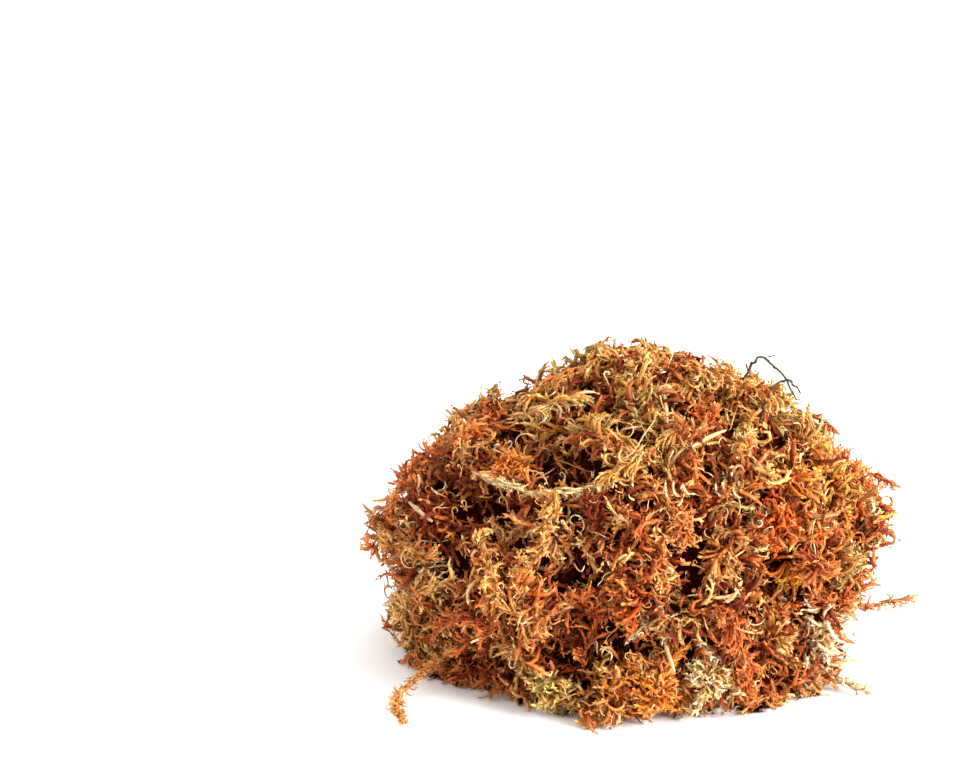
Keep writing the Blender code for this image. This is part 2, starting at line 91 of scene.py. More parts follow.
studio = {
    "pitch": 20.0,  # degrees that the camera looks down
    "lens": 420.0,
    "sensor": 36.0,
    "pixels": 960,  # width of the image
    "pixel": 0.00036,  # metres of the clump that one pixel shows
    "aim": (-0.0540, 0.0, 0.1034),  # what the camera looks at, from where the clump is measured
    "lampAim": (0.0, 0.0, 0.05),
    "skyTint": (1.0, 0.99, 0.98, 1.0),
    "skyStrength": 1.55,
    "floorTint": (0.92, 0.915, 0.91, 1.0),
    "floorRoughness": 0.9,
    "floorSize": 4.0,
    "floorDrop": 0.0003,  # how far the floor lies under the clump
}

# Power, size and place of the lamps; the fill stands low on the right, so that the foot isn't dark
lamps = {
    "keyLight": (54.0, 0.85, (1.3, -0.88, 0.76)),
    "fillLight": (9.0, 0.8, (1.15, -0.7, 0.14)),
    "rimLight": (3.0, 0.6, (0.35, 0.95, 0.8)),
}

pitchSine = math.sin(math.radians(studio["pitch"]))
pitchCosine = math.cos(math.radians(studio["pitch"]))


def aimedAt(thing, target):
    thing.rotation_mode = "QUATERNION"
    thing.rotation_quaternion = (Vector(target) - thing.location).to_track_quat("-Z", "Y")


def addLamp(name, power, size, place):
    lamp = bpy.data.lights.new(name, "AREA")
    lamp.shape = "DISK"
    lamp.size = size
    lamp.energy = power
    holder = addObject(name, lamp)
    holder.location = place
    aimedAt(holder, studio["lampAim"])


def addCamera():
    camera = bpy.data.cameras.new("camera")
    camera.lens = studio["lens"]
    camera.sensor_width = studio["sensor"]
    camera.clip_start = 0.05
    camera.clip_end = 30.0
    distance = studio["pixels"] * studio["pixel"] * studio["lens"] / studio["sensor"]
    holder = addObject("camera", camera)
    aim = Vector(studio["aim"]) + measuredFrom
    holder.location = aim + Vector((0.0, -pitchCosine, pitchSine)) * distance
    aimedAt(holder, aim)
    bpy.context.scene.camera = holder


def addFloor():
    bm = bmesh.new()
    bmesh.ops.create_grid(bm, x_segments=1, y_segments=1, size=studio["floorSize"])
    bmesh.ops.translate(bm, verts=bm.verts, vec=(0.0, 0.0, -studio["floorDrop"]))
    mesh = meshFrom(bm, "floor")
    floor = addObject("floor", mesh)
    paint = bpy.data.materials.new("floorPaper")
    paint.use_nodes = True
    shader = paint.node_tree.nodes["Principled BSDF"]
    shader.inputs["Base Color"].default_value = studio["floorTint"]
    shader.inputs["Roughness"].default_value = studio["floorRoughness"]
    mesh.materials.append(paint)


def makeStudio():
    scene = bpy.context.scene
    addCamera()
    for name, values in lamps.items():
        addLamp(name, *values)
    world = bpy.data.worlds.new("softSky")
    world.use_nodes = True
    sky = world.node_tree.nodes["Background"]
    sky.inputs["Color"].default_value = studio["skyTint"]
    sky.inputs["Strength"].default_value = studio["skyStrength"]
    scene.world = world
    scene.view_settings.view_transform = "Standard"
    addFloor()


makeStudio()
print("stage: camera, lights and floor")

# Shader maths written as plain expressions


class Wire:
    # one output of a node; maths with it adds Math nodes
    def __init__(self, board, socket):
        self.board = board
        self.socket = socket

    def maths(self, operation, first, second):
        inputs = {0: first, 1: second}
        return self.board.node("ShaderNodeMath", {"operation": operation}, inputs, 0)

    def __add__(self, other):
        return self.maths("ADD", self, other)

    def __radd__(self, other):
        return self.maths("ADD", other, self)

    def __mul__(self, other):
        return self.maths("MULTIPLY", self, other)

    def __rmul__(self, other):
        return self.maths("MULTIPLY", other, self)


class Board:
    # a material's node tree with its Principled shader
    def __init__(self, name):
        self.material = bpy.data.materials.new(name)
        self.material.use_nodes = True
        self.tree = self.material.node_tree
        self.shader = self.tree.nodes["Principled BSDF"]

    def plug(self, socket, value):
        if isinstance(value, Wire):
            self.tree.links.new(value.socket, socket)
        else:
            socket.default_value = value

    def node(self, kind, settings, inputs, output):
        made = self.tree.nodes.new(kind)
        for key, value in settings.items():
            if key == "stops":
                ramp = made.color_ramp
                while len(ramp.elements) < len(value):
                    ramp.elements.new(0.5)
                for element, (place, tint) in zip(ramp.elements, value):
                    element.position = place
                    element.color = tint
            else:
                setattr(made, key, value)
        for key, value in inputs.items():
            self.plug(made.inputs[key], value)
        return Wire(self, made.outputs[output])

    def objectPlace(self):
        return self.node("ShaderNodeTexCoord", {}, {}, "Object")

    def speckle(self, place, scale, detail):
        inputs = {"Vector": place, "Scale": scale, "Detail": detail, "Roughness": 0.6}
        return self.node("ShaderNodeTexNoise", {}, inputs, 0)

    def ramp(self, factor, *stops):
        settings = {"stops": [(place, (*tint, 1.0)) for place, tint in stops]}
        return self.node("ShaderNodeValToRGB", settings, {0: factor}, 0)

    def mix(self, blend, factor, first, second):
        settings = {"data_type": "RGBA", "blend_type": blend}
        return self.node("ShaderNodeMix", settings, {0: factor, 6: first, 7: second}, 2)

    def bump(self, height, depth, strength):
        inputs = {"Height": height, "Distance": depth, "Strength": strength}
        return self.node("ShaderNodeBump", {}, inputs, 0)

    def shade(self, **values):
        for key, value in values.items():
            self.plug(self.shader.inputs[key.replace("_", " ")], value)
        return self.material


# The moss leaves take their tint from the mesh, where each strand has its own

leafFinish = namedRows("dusk glow grain", {
    "tangled_moss": ((0.68, 0.43, 0.24, 1.0), (0.98, 0.97, 0.93, 1.0), 1150.0),
    "golden_moss": ((0.70, 0.52, 0.34, 1.0), (1.0, 0.99, 0.92, 1.0), 1250.0),
    "rust_moss": ((0.66, 0.42, 0.30, 1.0), (1.0, 0.96, 0.90, 1.0), 1200.0),
    "pale_moss": ((0.66, 0.54, 0.38, 1.0), (1.0, 0.98, 0.92, 1.0), 1300.0),
})

leafLook = {"patch": 140.0, "dim": 0.34, "bright": 0.62, "bumpDepth": 0.00012, "bump": 0.8, "shine": 0.14}


def makeLeafFinish(name, values):
    board = Board(name)
    place = board.objectPlace()
    tint = board.node("ShaderNodeAttribute", {"attribute_name": "mossTint"}, {}, "Color")
    grain = board.speckle(place, values["grain"], 4.0)
    patch = board.speckle(place, leafLook["patch"], 3.0)
    dim = board.ramp(grain, (leafLook["dim"], (0, 0, 0)), (leafLook["bright"], (1, 1, 1)))
    cast = board.mix("MIX", dim, values["dusk"], values["glow"])
    tinted = board.mix("MULTIPLY", 1.0, tint, cast)
    return board.shade(
        Base_Color=tinted,
        Roughness=0.50 + 0.22 * patch + 0.20 * grain,
        Normal=board.bump(grain, leafLook["bumpDepth"], leafLook["bump"]),
        Specular_IOR_Level=leafLook["shine"],
    )


finishes = {name: makeLeafFinish(name, values) for name, values in leafFinish.items()}
print("stage: leaf finishes")

# Small shapes that the heap repeats: leafy branches, curled threads, stem links and chips

leafShape = {
    "length": 0.0024,
    "width": 0.0012,
    "widest": 0.42,  # where along the leaf it is widest
    "fold": 0.0003,
    "lift": 0.6,
    "first": 0.12,  # where along the branch the leaves start, and over how much of it they stand
    "span": 0.8,
    "around": 144,  # degrees from one leaf to the next
}

# Bend and curl are degrees over the whole branch, curl mostly near the tip
branchShapes = namedRows("count length radius steps leaves bend curl twist tilt", {
    "spray": (8, 0.0135, 0.00068, 5, 9, 40, 70, 80, 30),
    "hook": (8, 0.0130, 0.00072, 6, 8, 70, 130, 90, 30),
    "curl": (8, 0.0145, 0.00066, 7, 6, 110, 210, 150, 32),
    "bud": (6, 0.0085, 0.00062, 4, 7, 40, 80, 50, 30),
    "wisp": (7, 0.0130, 0.00070, 4, 5, 60, 110, 90, 30),
})

# Wave bends a thread to and fro
threadShapes = namedRows("count length radius steps bend curl twist wave", {
    "thread": (9, 0.0105, 0.00040, 8, 60, 170, 190, 340),
    "stalk": (5, 0.024, 0.00042, 7, 14, 34, 60, 150),
    "stemLink": (1, 0.0042, 0.00045, 2, 0, 0, 0, 0),
    "ring": (5, 0.016, 0.00042, 11, 270, 70, 45, 110),
})

chipShape = {"count": 3, "length": 0.0062, "width": 0.0012, "thick": 0.00016, "bend": 40}


def bentSpine(length, bend, curl, twist, steps, wave):
    # places and headings along a strand that starts up Z and bends towards X
    heading = Matrix.Identity(3)
    place = Vector((0.0, 0.0, 0.0))
    spine = [(place.copy(), heading.copy())]
    for step in range(steps):
        share = (step + 0.5) / steps
        turn = math.radians(bend + curl * 3.0 * share * share + wave * math.cos(8.0 * share + 0.6)) / steps
        roll = math.radians(twist) / steps
        heading = heading @ Matrix.Rotation(turn, 3, "Y") @ Matrix.Rotation(roll, 3, "Z")
        place = place + heading @ Vector((0.0, 0.0, length / steps))
        spine.append((place.copy(), heading.copy()))
    return spine


def asShape(bm, along, group):
    # the finished small mesh as arrays: points, how far along each is, which leaf it is of, and triangles
    bmesh.ops.triangulate(bm, faces=bm.faces)
    bm.verts.ensure_lookup_table()
    bm.verts.index_update()
    points = np.array([vert.co for vert in bm.verts], np.float32)
    shares = np.array([vert[along] for vert in bm.verts], np.float32)
    groups = np.array([vert[group] for vert in bm.verts], np.int32)
    faces = np.array([[vert.index for vert in face.verts] for face in bm.faces], np.int32)
    bm.free()
    return {"points": points, "along": shares, "group": groups, "faces": faces}


def drawAlong(bm, spine, radii, sides):
    # a closed tube, extruded ring by ring along its spine and pointed at both ends
    edgesBefore = set(bm.edges)
    ring = bmesh.ops.create_circle(bm, cap_ends=False, segments=sides, radius=1.0)["verts"]
    edges = [edge for edge in bm.edges if edge not in edgesBefore]
    rings = [ring]
    for place, heading in spine[1:]:
        grown = bmesh.ops.extrude_edge_only(bm, edges=edges)["geom"]
        ring = [item for item in grown if isinstance(item, bmesh.types.BMVert)]
        edges = [item for item in grown if isinstance(item, bmesh.types.BMEdge)]
        rings.append(ring)
    for ring, (place, heading), radius in zip(rings, spine, radii):
        for vert in ring:
            vert.co = place + heading @ (Vector((vert.co.x, vert.co.y, 0.0)) * radius)
    bmesh.ops.pointmerge(bm, verts=rings[0], merge_co=spine[0][0])
    bmesh.ops.pointmerge(bm, verts=rings[-1], merge_co=spine[-1][0])
    return rings


def drawStrand(values, pick, wave, radii):
    # the spine and the body of one strand, and how far along each point of the body is
    bm = bmesh.new()
    along = bm.verts.layers.float.new("along")
    group = bm.verts.layers.int.new("group")
    bend = values["bend"] * pick.uniform(0.5, 1.5)
    curl = values["curl"] * pick.uniform(0.3, 1.5)
    twist = values["twist"] * pick.uniform(-1.0, 1.0)
    spine = bentSpine(values["length"], bend, curl, twist, values["steps"], wave)
    drawAlong(bm, spine, radii, 3)
    for vert in bm.verts:
        nearest = min(range(len(spine)), key=lambda step: (spine[step][0] - vert.co).length)
        vert[along] = nearest / (len(spine) - 1)
    bmesh.ops.recalc_face_normals(bm, faces=bm.faces)
    return bm, along, group, spine


def growBranch(values, number):
    # a soft curled strand, thickest below its middle, with small pointed leaves that stand off it
    pick = random.Random(values["leaves"] * 100 + values["steps"] * 10 + number)
    last = values["steps"]
    radii = []
    for step in range(last + 1):
        radii.append(values["radius"] * (0.35 + 0.9 * math.sin(math.pi * (0.18 + 0.74 * step / last))))
    bm, along, group, spine = drawStrand(values, pick, 0.0, radii)
    length = leafShape["length"]
    half = leafShape["width"] / 2
    widest = length * leafShape["widest"]
    foot = bm.verts.new((0.0, 0.0, 0.0))
    right = bm.verts.new((half, -leafShape["fold"], widest))
    tip = bm.verts.new((0.0, -leafShape["fold"] * 0.6, length))
    left = bm.verts.new((-half, -leafShape["fold"], widest))
    one = bm.faces.new((foot, tip, right))
    two = bm.faces.new((foot, left, tip))
    pattern = [foot, right, tip, left, *set(one.edges) | set(two.edges), one, two]
    for leaf in range(values["leaves"]):
        share = leafShape["first"] + leafShape["span"] * leaf / (values["leaves"] - 1)
        nearest = round(share * last)
        place, heading = spine[nearest]
        place = place + heading @ Vector((0.0, 0.0, (share * last - nearest) * values["length"] / last))
        roll = math.radians(leaf * leafShape["around"] + pick.uniform(-25, 25))
        tilt = math.radians(values["tilt"] * pick.uniform(0.6, 1.5))
        stand = radii[nearest] * leafShape["lift"]
        turned = Matrix.Rotation(roll, 4, "Z") @ Matrix.Translation((0.0, stand, 0.0))
        turned = turned @ Matrix.Rotation(-tilt, 4, "X") @ Matrix.Scale(pick.uniform(0.75, 1.2), 4)
        copied = bmesh.ops.duplicate(bm, geom=pattern)["geom"]
        points = [item for item in copied if isinstance(item, bmesh.types.BMVert)]
        for vert in points:
            vert[along] = min(1.0, share + 0.12 + vert.co.z * 60.0)
            vert[group] = leaf + 1
        bmesh.ops.transform(bm, matrix=Matrix.Translation(place) @ heading.to_4x4() @ turned, verts=points)
    bmesh.ops.delete(bm, geom=[foot, right, tip, left], context="VERTS")
    return asShape(bm, along, group)


def growThread(values, number):
    pick = random.Random(values["steps"] * 50 + number)
    wave = values["wave"] * pick.uniform(-1.0, 1.0)
    last = values["steps"]
    radii = [values["radius"] * (1.0 - 0.5 * step / last) for step in range(last + 1)]
    bm, along, group, spine = drawStrand(values, pick, wave, radii)
    return asShape(bm, along, group)


def cutChip(values, number):
    # a thin flat strip of straw, bent over its length
    pick = random.Random(900 + number)
    bm = bmesh.new()
    along = bm.verts.layers.float.new("along")
    group = bm.verts.layers.int.new("group")
    bmesh.ops.create_grid(bm, x_segments=1, y_segments=4, size=0.5)
    bmesh.ops.scale(bm, verts=bm.verts, vec=(values["width"], values["length"], 1.0))
    bend = math.radians(values["bend"] * pick.uniform(0.3, 1.4))
    radius = values["length"] / max(bend, 0.01)
    for vert in bm.verts:
        share = vert.co.y / values["length"] + 0.5
        narrow = 1.0 - 0.5 * abs(share - 0.4) * pick.uniform(0.9, 1.1)
        vert[along] = share
        turn = bend * share
        vert.co = Vector((vert.co.x * narrow, radius * (1 - math.cos(turn)), radius * math.sin(turn)))
    bmesh.ops.recalc_face_normals(bm, faces=bm.faces)
    bmesh.ops.solidify(bm, geom=list(bm.faces), thickness=values["thick"])
    bmesh.ops.recalc_face_normals(bm, faces=bm.faces)
    return asShape(bm, along, group)


shapes = {}
for kind, values in branchShapes.items():
    shapes[kind] = [growBranch(values, number) for number in range(values["count"])]
for kind, values in threadShapes.items():
    shapes[kind] = [growThread(values, number) for number in range(values["count"])]
shapes["chip"] = [cutChip(chipShape, number) for number in range(chipShape["count"])]
print("stage: small shapes with faces", {kind: len(group[0]["faces"]) for kind, group in shapes.items()})

# Tints run from the foot of a strand to its tip

tints = {
    "maroon": ((0.135, 0.008, 0.001), (0.36, 0.066, 0.018)),
    "rust": ((0.300, 0.031, 0.002), (0.68, 0.215, 0.062)),
    "mauve": ((0.230, 0.046, 0.010), (0.72, 0.410, 0.210)),
    "scarlet": ((0.440, 0.034, 0.002), (0.82, 0.180, 0.034)),
    "orange": ((0.460, 0.078, 0.005), (0.85, 0.360, 0.110)),
    "ember": ((0.520, 0.075, 0.003), (0.94, 0.370, 0.060)),
    "amber": ((0.500, 0.128, 0.010), (0.86, 0.480, 0.175)),
    "ochre": ((0.480, 0.165, 0.010), (0.82, 0.510, 0.130)),
    "gold": ((0.540, 0.198, 0.018), (0.88, 0.610, 0.240)),
    "olive": ((0.310, 0.155, 0.014), (0.78, 0.590, 0.200)),
    "straw": ((0.580, 0.290, 0.065), (0.90, 0.730, 0.430)),
    "cream": ((0.660, 0.470, 0.180), (1.00, 0.910, 0.680)),
}

# The mix over the whole heap, from the darkest sort to the palest
mixture = [
    ("maroon", 0.09),
    ("rust", 0.22),
    ("mauve", 0.06),
    ("orange", 0.18),
    ("amber", 0.21),
    ("gold", 0.15),
    ("straw", 0.07),
]

# Blends for the broad patches
blends = {
    # deep is partly painted shade and sunny partly painted light, by where their patches lie on the front
    "deep": ("maroon", "maroon", "rust", "rust", "mauve", "orange", "amber", "gold"),
    "golden": ("ochre", "ochre", "gold", "gold", "amber", "olive"),
    "sunny": ("amber", "amber", "ochre", "gold", "orange", "straw"),
    "lemon": ("cream", "cream", "straw", "gold"),
}

# Patches on the front: millimetres right and up as seen from 20 degrees above, radius, sort or blend
patches = [
    (-1, 108, 24, "golden"),
    (24, 97, 20, "golden"),
    (-78, 8, 9, "olive"),
    (51, 93, 12, "olive"),
    (28, 83, 7, "scarlet"),
    (57, 58, 7, "ember"),
    (53, 45, 10, "scarlet"),
    (61, 35, 10, "ember"),
    (-48, 68, 10, "ember"),
    (8, -13, 12, "ember"),
    (80, 31, 8, "olive"),
    (73, 2, 15, "lemon"),
    (25, -10, 12, "lemon"),
    (-29, -15, 12, "olive"),
    (-85, 40, 8, "straw"),
    (-73, 29, 7, "straw"),
    (-70, 50, 15, "maroon"),
    (38, 68, 6, "maroon"),
    (61, 13, 7, "maroon"),
    (-4, 19, 8, "scarlet"),
    (24, 37, 6, "olive"),
    (-16, 41, 8, "gold"),
    (13, 45, 9, "amber"),
    (-8, 57, 9, "maroon"),
    (-59, 45, 8, "amber"),
    (-85, 60, 10, "rust"),
    (-66, 12, 12, "rust"),
    (65, 64, 10, "ochre"),
    (78, 58, 9, "ochre"),
    (75, 50, 9, "rust"),
    (81, 20, 8, "rust"),
    (42, 4, 12, "rust"),
    (26, 20, 7, "gold"),
    (-22, 76, 10, "gold"),
    (-42, 92, 12, "gold"),
    (20, 74, 9, "rust"),
    (66, 72, 14, "gold"),
    # the sunny patches on the right are partly paler moss and partly painted light, as the key light falls
    # from the right
    (66, 45, 22, "sunny"),
    (86, 42, 10, "straw"),
    (56, 2, 19, "sunny"),
    (33, -4, 15, "straw"),
    (-45, -8, 12, "amber"),
    (5, -14, 18, "amber"),
    (-20, -8, 12, "gold"),
    (86, 12, 14, "sunny"),
    (0, 96, 32, "golden"),
    # the deep patch is partly darker moss and partly painted shade, as the middle of the front lies away
    # from the key light
    (-2, 46, 32, "deep"),
]

tinting = {
    "facing": -0.3,  # what faces the camera less than this is of no patch
    "reach": 1.15,  # how many radii a patch reaches
    "sure": 0.95,  # the chance to be of a patch in its middle, and what it loses over one radius
    "fade": 0.45,
    "scale": 52.0,  # the slow noise that shifts the mix, how much it does, and how much chance does
    "drift": 0.62,
    "scatter": 0.16,
}


def seenAt(place):
    # millimetres right and up in the camera's view
    away = place - measuredFrom
    return away.x * 1000, (away.z * pitchCosine + away.y * pitchSine) * 1000


def facing(normal):
    # 1 straight at the camera, 0 sideways, less on the far side
    return normal.z * pitchSine - normal.y * pitchCosine


def patchSort(place, normal, pick):
    if facing(normal) > tinting["facing"]:
        right, up = seenAt(place)
        for patchRight, patchUp, radius, sort in patches:
            away = math.hypot(right - patchRight, up - patchUp) / radius
            if away < tinting["reach"] and pick.random() < tinting["sure"] - tinting["fade"] * away:
                return pick.choice(blends.get(sort, (sort,)))
    return None


def pickSort(place, normal, pick):
    patch = patchSort(place, normal, pick)
    if patch:
        return patch
    slow = noise.noise(place * tinting["scale"])
    level = 0.5 + tinting["drift"] * slow + pick.gauss(0.0, tinting["scatter"])
    for sort, share in mixture:
        level -= share
        if level < 0:
            return sort
    return mixture[-1][0]


def strandTints(sort, shade, pick):
    foot, tip = tints[sort]
    # shade scales both tints; where it comes from depth, creases, hollows or nearness to the floor it is
    # painted shade
    foot = Vector(foot) * shade * pick.uniform(0.7, 1.15)
    tip = Vector(tip) * shade * pick.uniform(0.75, 1.1)
    warm = pick.uniform(-0.12, 0.12)
    tip.y *= 1.0 + warm
    tip.z *= 1.0 + warm * 2.0
    return foot, tip


# The clump's upper edge as the camera sees it, in millimetres right and up
crest = {
    "right": (-47, -40, -32, -18, -4, 11, 40, 54, 68, 90),
    "up": (95, 102, 108, 110, 114, 110, 103, 97, 86, 65),
    "margin": 2.0,  # how far a small shape may stand above it
}


def underCrest(placed):
    # which of the placed shapes stay under that edge
    away = placed - np.array(measuredFrom)
    up = (away[..., 2] * pitchCosine + away[..., 1] * pitchSine) * 1000
    limit = np.interp(away[..., 0] * 1000, crest["right"], crest["up"]) + crest["margin"]
    return (up <= limit).all(axis=1)


class Strands:
    # collects where each small shape goes, then joins them all into one mesh
    def __init__(self):
        self.rows = {}

    def add(self, kind, pick, place, ahead, aside, size, foot, tip):
        number = pick.randrange(len(shapes[kind]))
        row = (*place, *ahead, *aside, size, *foot, *tip)
        self.rows.setdefault((kind, number), []).append(row)

    def join(self, name, slot, nodes):
        generator = np.random.default_rng(len(name) + 7)
        points = []
        faces = []
        colours = []
        offset = 0
        for (kind, number), rows in sorted(self.rows.items()):
            shape = shapes[kind][number]
            table = np.array(rows, np.float32)
            ahead = table[:, 3:6]
            ahead = ahead / np.linalg.norm(ahead, axis=1, keepdims=True)
            aside = table[:, 6:9]
            aside = aside - ahead * np.sum(aside * ahead, axis=1, keepdims=True)
            aside = aside / np.maximum(np.linalg.norm(aside, axis=1, keepdims=True), 1e-6)
            third = np.cross(ahead, aside)
            turns = np.stack([aside, third, ahead], axis=2)
            local = shape["points"][None, :, :] * table[:, 9][:, None, None]
            placed = np.einsum("nij,nvj->nvi", turns, local) + table[:, None, 0:3]
            low = underCrest(placed)
            placed = placed[low]
            table = table[low]
            count = len(table)
            share = shape["along"][None, :, None]
            share = share * share * (3 - 2 * share)
            tint = table[:, None, 10:13] * (1 - share) + table[:, None, 13:16] * share
            # each leaf is a little darker or lighter than its branch
            leaves = generator.uniform(0.82, 1.18, (count, shape["group"].max() + 1))
            tint = tint * leaves[:, shape["group"], None]
            points.append(placed.reshape(-1, 3))
            colours.append(tint.reshape(-1, 3))
            step = len(shape["points"])
            starts = offset + np.arange(count)[:, None, None] * step
            faces.append((shape["faces"][None, :, :] + starts).reshape(-1, 3))
            offset += count * step
        mesh = buildMesh(name, np.vstack(points), np.vstack(faces), np.vstack(colours))
        addPiece(name, mesh, finishes[slot], nodes)


groundLevel = 0.0001  # just above the floor


def buildMesh(name, points, faces, colours):
    # what lies lower than the ground level is pressed flat, a little above it
    points[:, 2] = np.maximum(points[:, 2], groundLevel + groundLevel * 2 * (points[:, 2] < groundLevel))
    mesh = bpy.data.meshes.new(name)
    mesh.vertices.add(len(points))
    mesh.vertices.foreach_set("co", points.astype(np.float32).ravel())
    mesh.loops.add(len(faces) * 3)
    mesh.loops.foreach_set("vertex_index", faces.astype(np.int32).ravel())
    mesh.polygons.add(len(faces))
    mesh.polygons.foreach_set("loop_start", np.arange(0, len(faces) * 3, 3, dtype=np.int32))
    mesh.update(calc_edges=True)
    tinted = mesh.attributes.new("mossTint", "FLOAT_COLOR", "POINT")
    full = np.ones((len(points), 4), np.float32)
    full[:, :3] = np.clip(colours, 0.0, 1.0)
    tinted.data.foreach_set("color", full.ravel())
    layOutMap(mesh, len(faces))
    return mesh


def layOutMap(mesh, faceCount):
    # each pair of triangles has a square of the map to itself, so that each leaf keeps its own tint
    side = math.ceil(math.sqrt((faceCount + 1) // 2))
    number = np.arange(faceCount)
    square = number // 2
    lower = np.array([[0.06, 0.06], [0.88, 0.06], [0.06, 0.88]])
    upper = np.array([[0.94, 0.94], [0.12, 0.94], [0.94, 0.12]])
    corners = np.where((number % 2 == 0)[:, None, None], lower[None], upper[None])
    origin = np.stack([square % side, square // side], axis=1)[:, None, :]
    layer = mesh.uv_layers.new(name="OFBake")
    layer.data.foreach_set("uv", ((corners + origin) / side).astype(np.float32).ravel())


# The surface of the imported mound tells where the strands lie

moundMesh = frame["nodes"]["moss_mound"].data
moundMesh.calc_loop_triangles()
moundPoints = [vert.co.copy() for vert in moundMesh.vertices]
moundFaces = [tuple(face.vertices) for face in moundMesh.loop_triangles]
mound = BVHTree.FromPolygons(moundPoints, moundFaces)
faceCorners = np.array([[moundPoints[i] for i in face] for face in moundFaces])
faceCross = np.cross(faceCorners[:, 1] - faceCorners[:, 0], faceCorners[:, 2] - faceCorners[:, 0])
faceArea = np.linalg.norm(faceCross, axis=1) / 2
faceNormal = faceCross / np.maximum(np.linalg.norm(faceCross, axis=1, keepdims=True), 1e-12)
faceShare = np.cumsum(faceArea) / faceArea.sum()

goldenAngle = 2.39996  # radians; turning by it spreads directions evenly
outlook = {"rays": 20, "lowest": 0.8, "start": 0.0006, "way": 0.022}


def measureOpenness():
    # how much of the sky each face of the mound sees within a short way: low in pits and creases
    spread = [Vector((0.0, 0.0, 1.0))]
    for number in range(outlook["rays"]):
        rise = 1.0 - (number + 0.5) / outlook["rays"] * outlook["lowest"]
        around = number * goldenAngle
        flat = math.sqrt(1.0 - rise * rise)
        spread.append(Vector((flat * math.cos(around), flat * math.sin(around), rise)))
    seen = []
    for corners, normal in zip(faceCorners, faceNormal):
        outward = Vector(normal)
        start = Vector(corners.mean(axis=0)) + outward * outlook["start"]
        turn = outward.to_track_quat("Z", "Y")
        free = sum(mound.ray_cast(start, turn @ ray, outlook["way"])[0] is None for ray in spread)
        seen.append(free / len(spread))
    return seen


openness = measureOpenness()
print("stage: mound measured,", len(moundFaces), "faces, least openness", round(min(openness), 2))


def eased(value, low, high):
    share = min(1.0, max(0.0, (value - low) / (high - low)))
    return share * share * (3.0 - 2.0 * share)


def pickSpot(pick):
    number = int(np.searchsorted(faceShare, pick.random()))
    number = min(number, len(moundFaces) - 1)
    one = pick.random()
    two = pick.random()
    if one + two > 1.0:
        one = 1.0 - one
        two = 1.0 - two
    corners = faceCorners[number]
    spot = corners[0] + (corners[1] - corners[0]) * one + (corners[2] - corners[0]) * two
    return Vector(spot), Vector(faceNormal[number]), number


flow = {"scale": 22.0, "drift": Vector((0.25, 0.0, -0.12))}


def flowAt(place):
    # the lie of the strands changes slowly over the heap
    return noise.noise_vector(place * flow["scale"]) + flow["drift"]


def alongSurface(vector, normal):
    flat = vector - normal * vector.dot(normal)
    if flat.length < 1e-6:
        flat = normal.orthogonal()
    return flat.normalized()


crown = {"height": 0.062, "level": 0.55}


def regionOf(place, normal):
    if place.z > crown["height"] and normal.z > crown["level"]:
        return "crown"
    row = "front" if place.y < 0 else "back"
    column = "left" if place.x < 0 else "right"
    return row + "_" + column


# The tangle: shoots that run over and under each other in layers

under = {
    "shoots": 420,
    "steps": 9,
    "stride": 0.0034,
    "wander": 0.4,
    "arms": 2,
    "depth": (0.0062, 0.0092),
    "sunk": 0.0086,  # depth of the strands that line a hollow, how they lean out, and the painted shade that dims them there
    "sunkLean": 0.05,
    "sunkShade": 0.6,
    "reach": (-5.5, -2.5),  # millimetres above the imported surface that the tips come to
    "rise": 2.5,  # millimetres that a wisp rises without a lean, and that it reaches at size 1
    "length": 9.0,
    "leastLean": -0.3,
    "size": (0.8, 1.15),
    "sorts": ("maroon", "rust", "rust", "orange"),
    # painted shade: the under strands are dimmed because they lie beneath the plumes
    "shade": 0.78,
}

plumes = {
    # a plume is a stem with arms on its outer side, and a fan of arms at its end
    "count": 400,
    "tries": 9000,
    "steps": (6, 16),
    "stride": 0.0022,
    "apart": 0.0062,  # no plume starts nearer than this to another, and few cross
    "cross": 0.30,
    "depth": (0.0038, 0.0080),
    "arms": 3,
    "around": 100,
    "angle": (20, 46),
    "size": (0.55, 0.98),
    "fan": 6,
    "above": 0.0012,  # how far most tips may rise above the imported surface, and how far a few do
    "proud": 0.0045,
    "level": 0.85,  # share of the arms that stay level
    "proudBelow": 0.086,  # higher up than this none stands proud
    "open": 0.42,  # a plume only starts where the mound is more open than this, and ends in deep creases
    "deep": 0.3,
    "unrest": 0.6,
    "wander": 0.22,
    "paintedDepthShade": 0.4,  # painted shade: what the deepest plumes lose of their brightness
    "endDepth": 0.85,  # the fan's depth as a share of the stem's, how it leans out, and how proud it may be
    "endLean": 0.3,
    "endProud": (0.3, 1.0),
    "endProudHigh": 0.2,
}

tufts = {
    "count": 84,
    "tries": 2500,
    "open": 0.6,
    "arms": (12, 20),
    "depth": 0.0080,
    "spread": 60,
    "lean": 0.35,
    "stagger": 0.0008,
    "droop": 0.5,
    "shares": (0.75, 0.25),  # of its own sort and of the other one
    "size": (0.6, 0.9),
}

# What lies loose between the plumes: how many, how they lean out, their size, and how open the mound has to
# be for the first of them and for all
loose = namedRows("count lean size open", {
    "strands": (1350, (-0.05, 0.26), (0.7, 1.15), (0.35, 0.8)),
    "threads": (1300, (0.1, 0.9), (0.5, 1.1), (0.3, 0.8)),
    "stalks": (60, (-0.05, 0.2), (0.6, 1.1), (0.4, 0.8)),
    "chips": (60, (0.0, 0.5), (0.5, 1.1)),
})

# Strands that lie all round the foot, lower than this height
skirt = {"strands": 700, "tries": 9000, "height": 0.014, "depth": (0.003, 0.006)}

# Gaps between the tufts on all sides, where a slow noise is low
gaps = {"scale": 115.0, "level": -0.42}

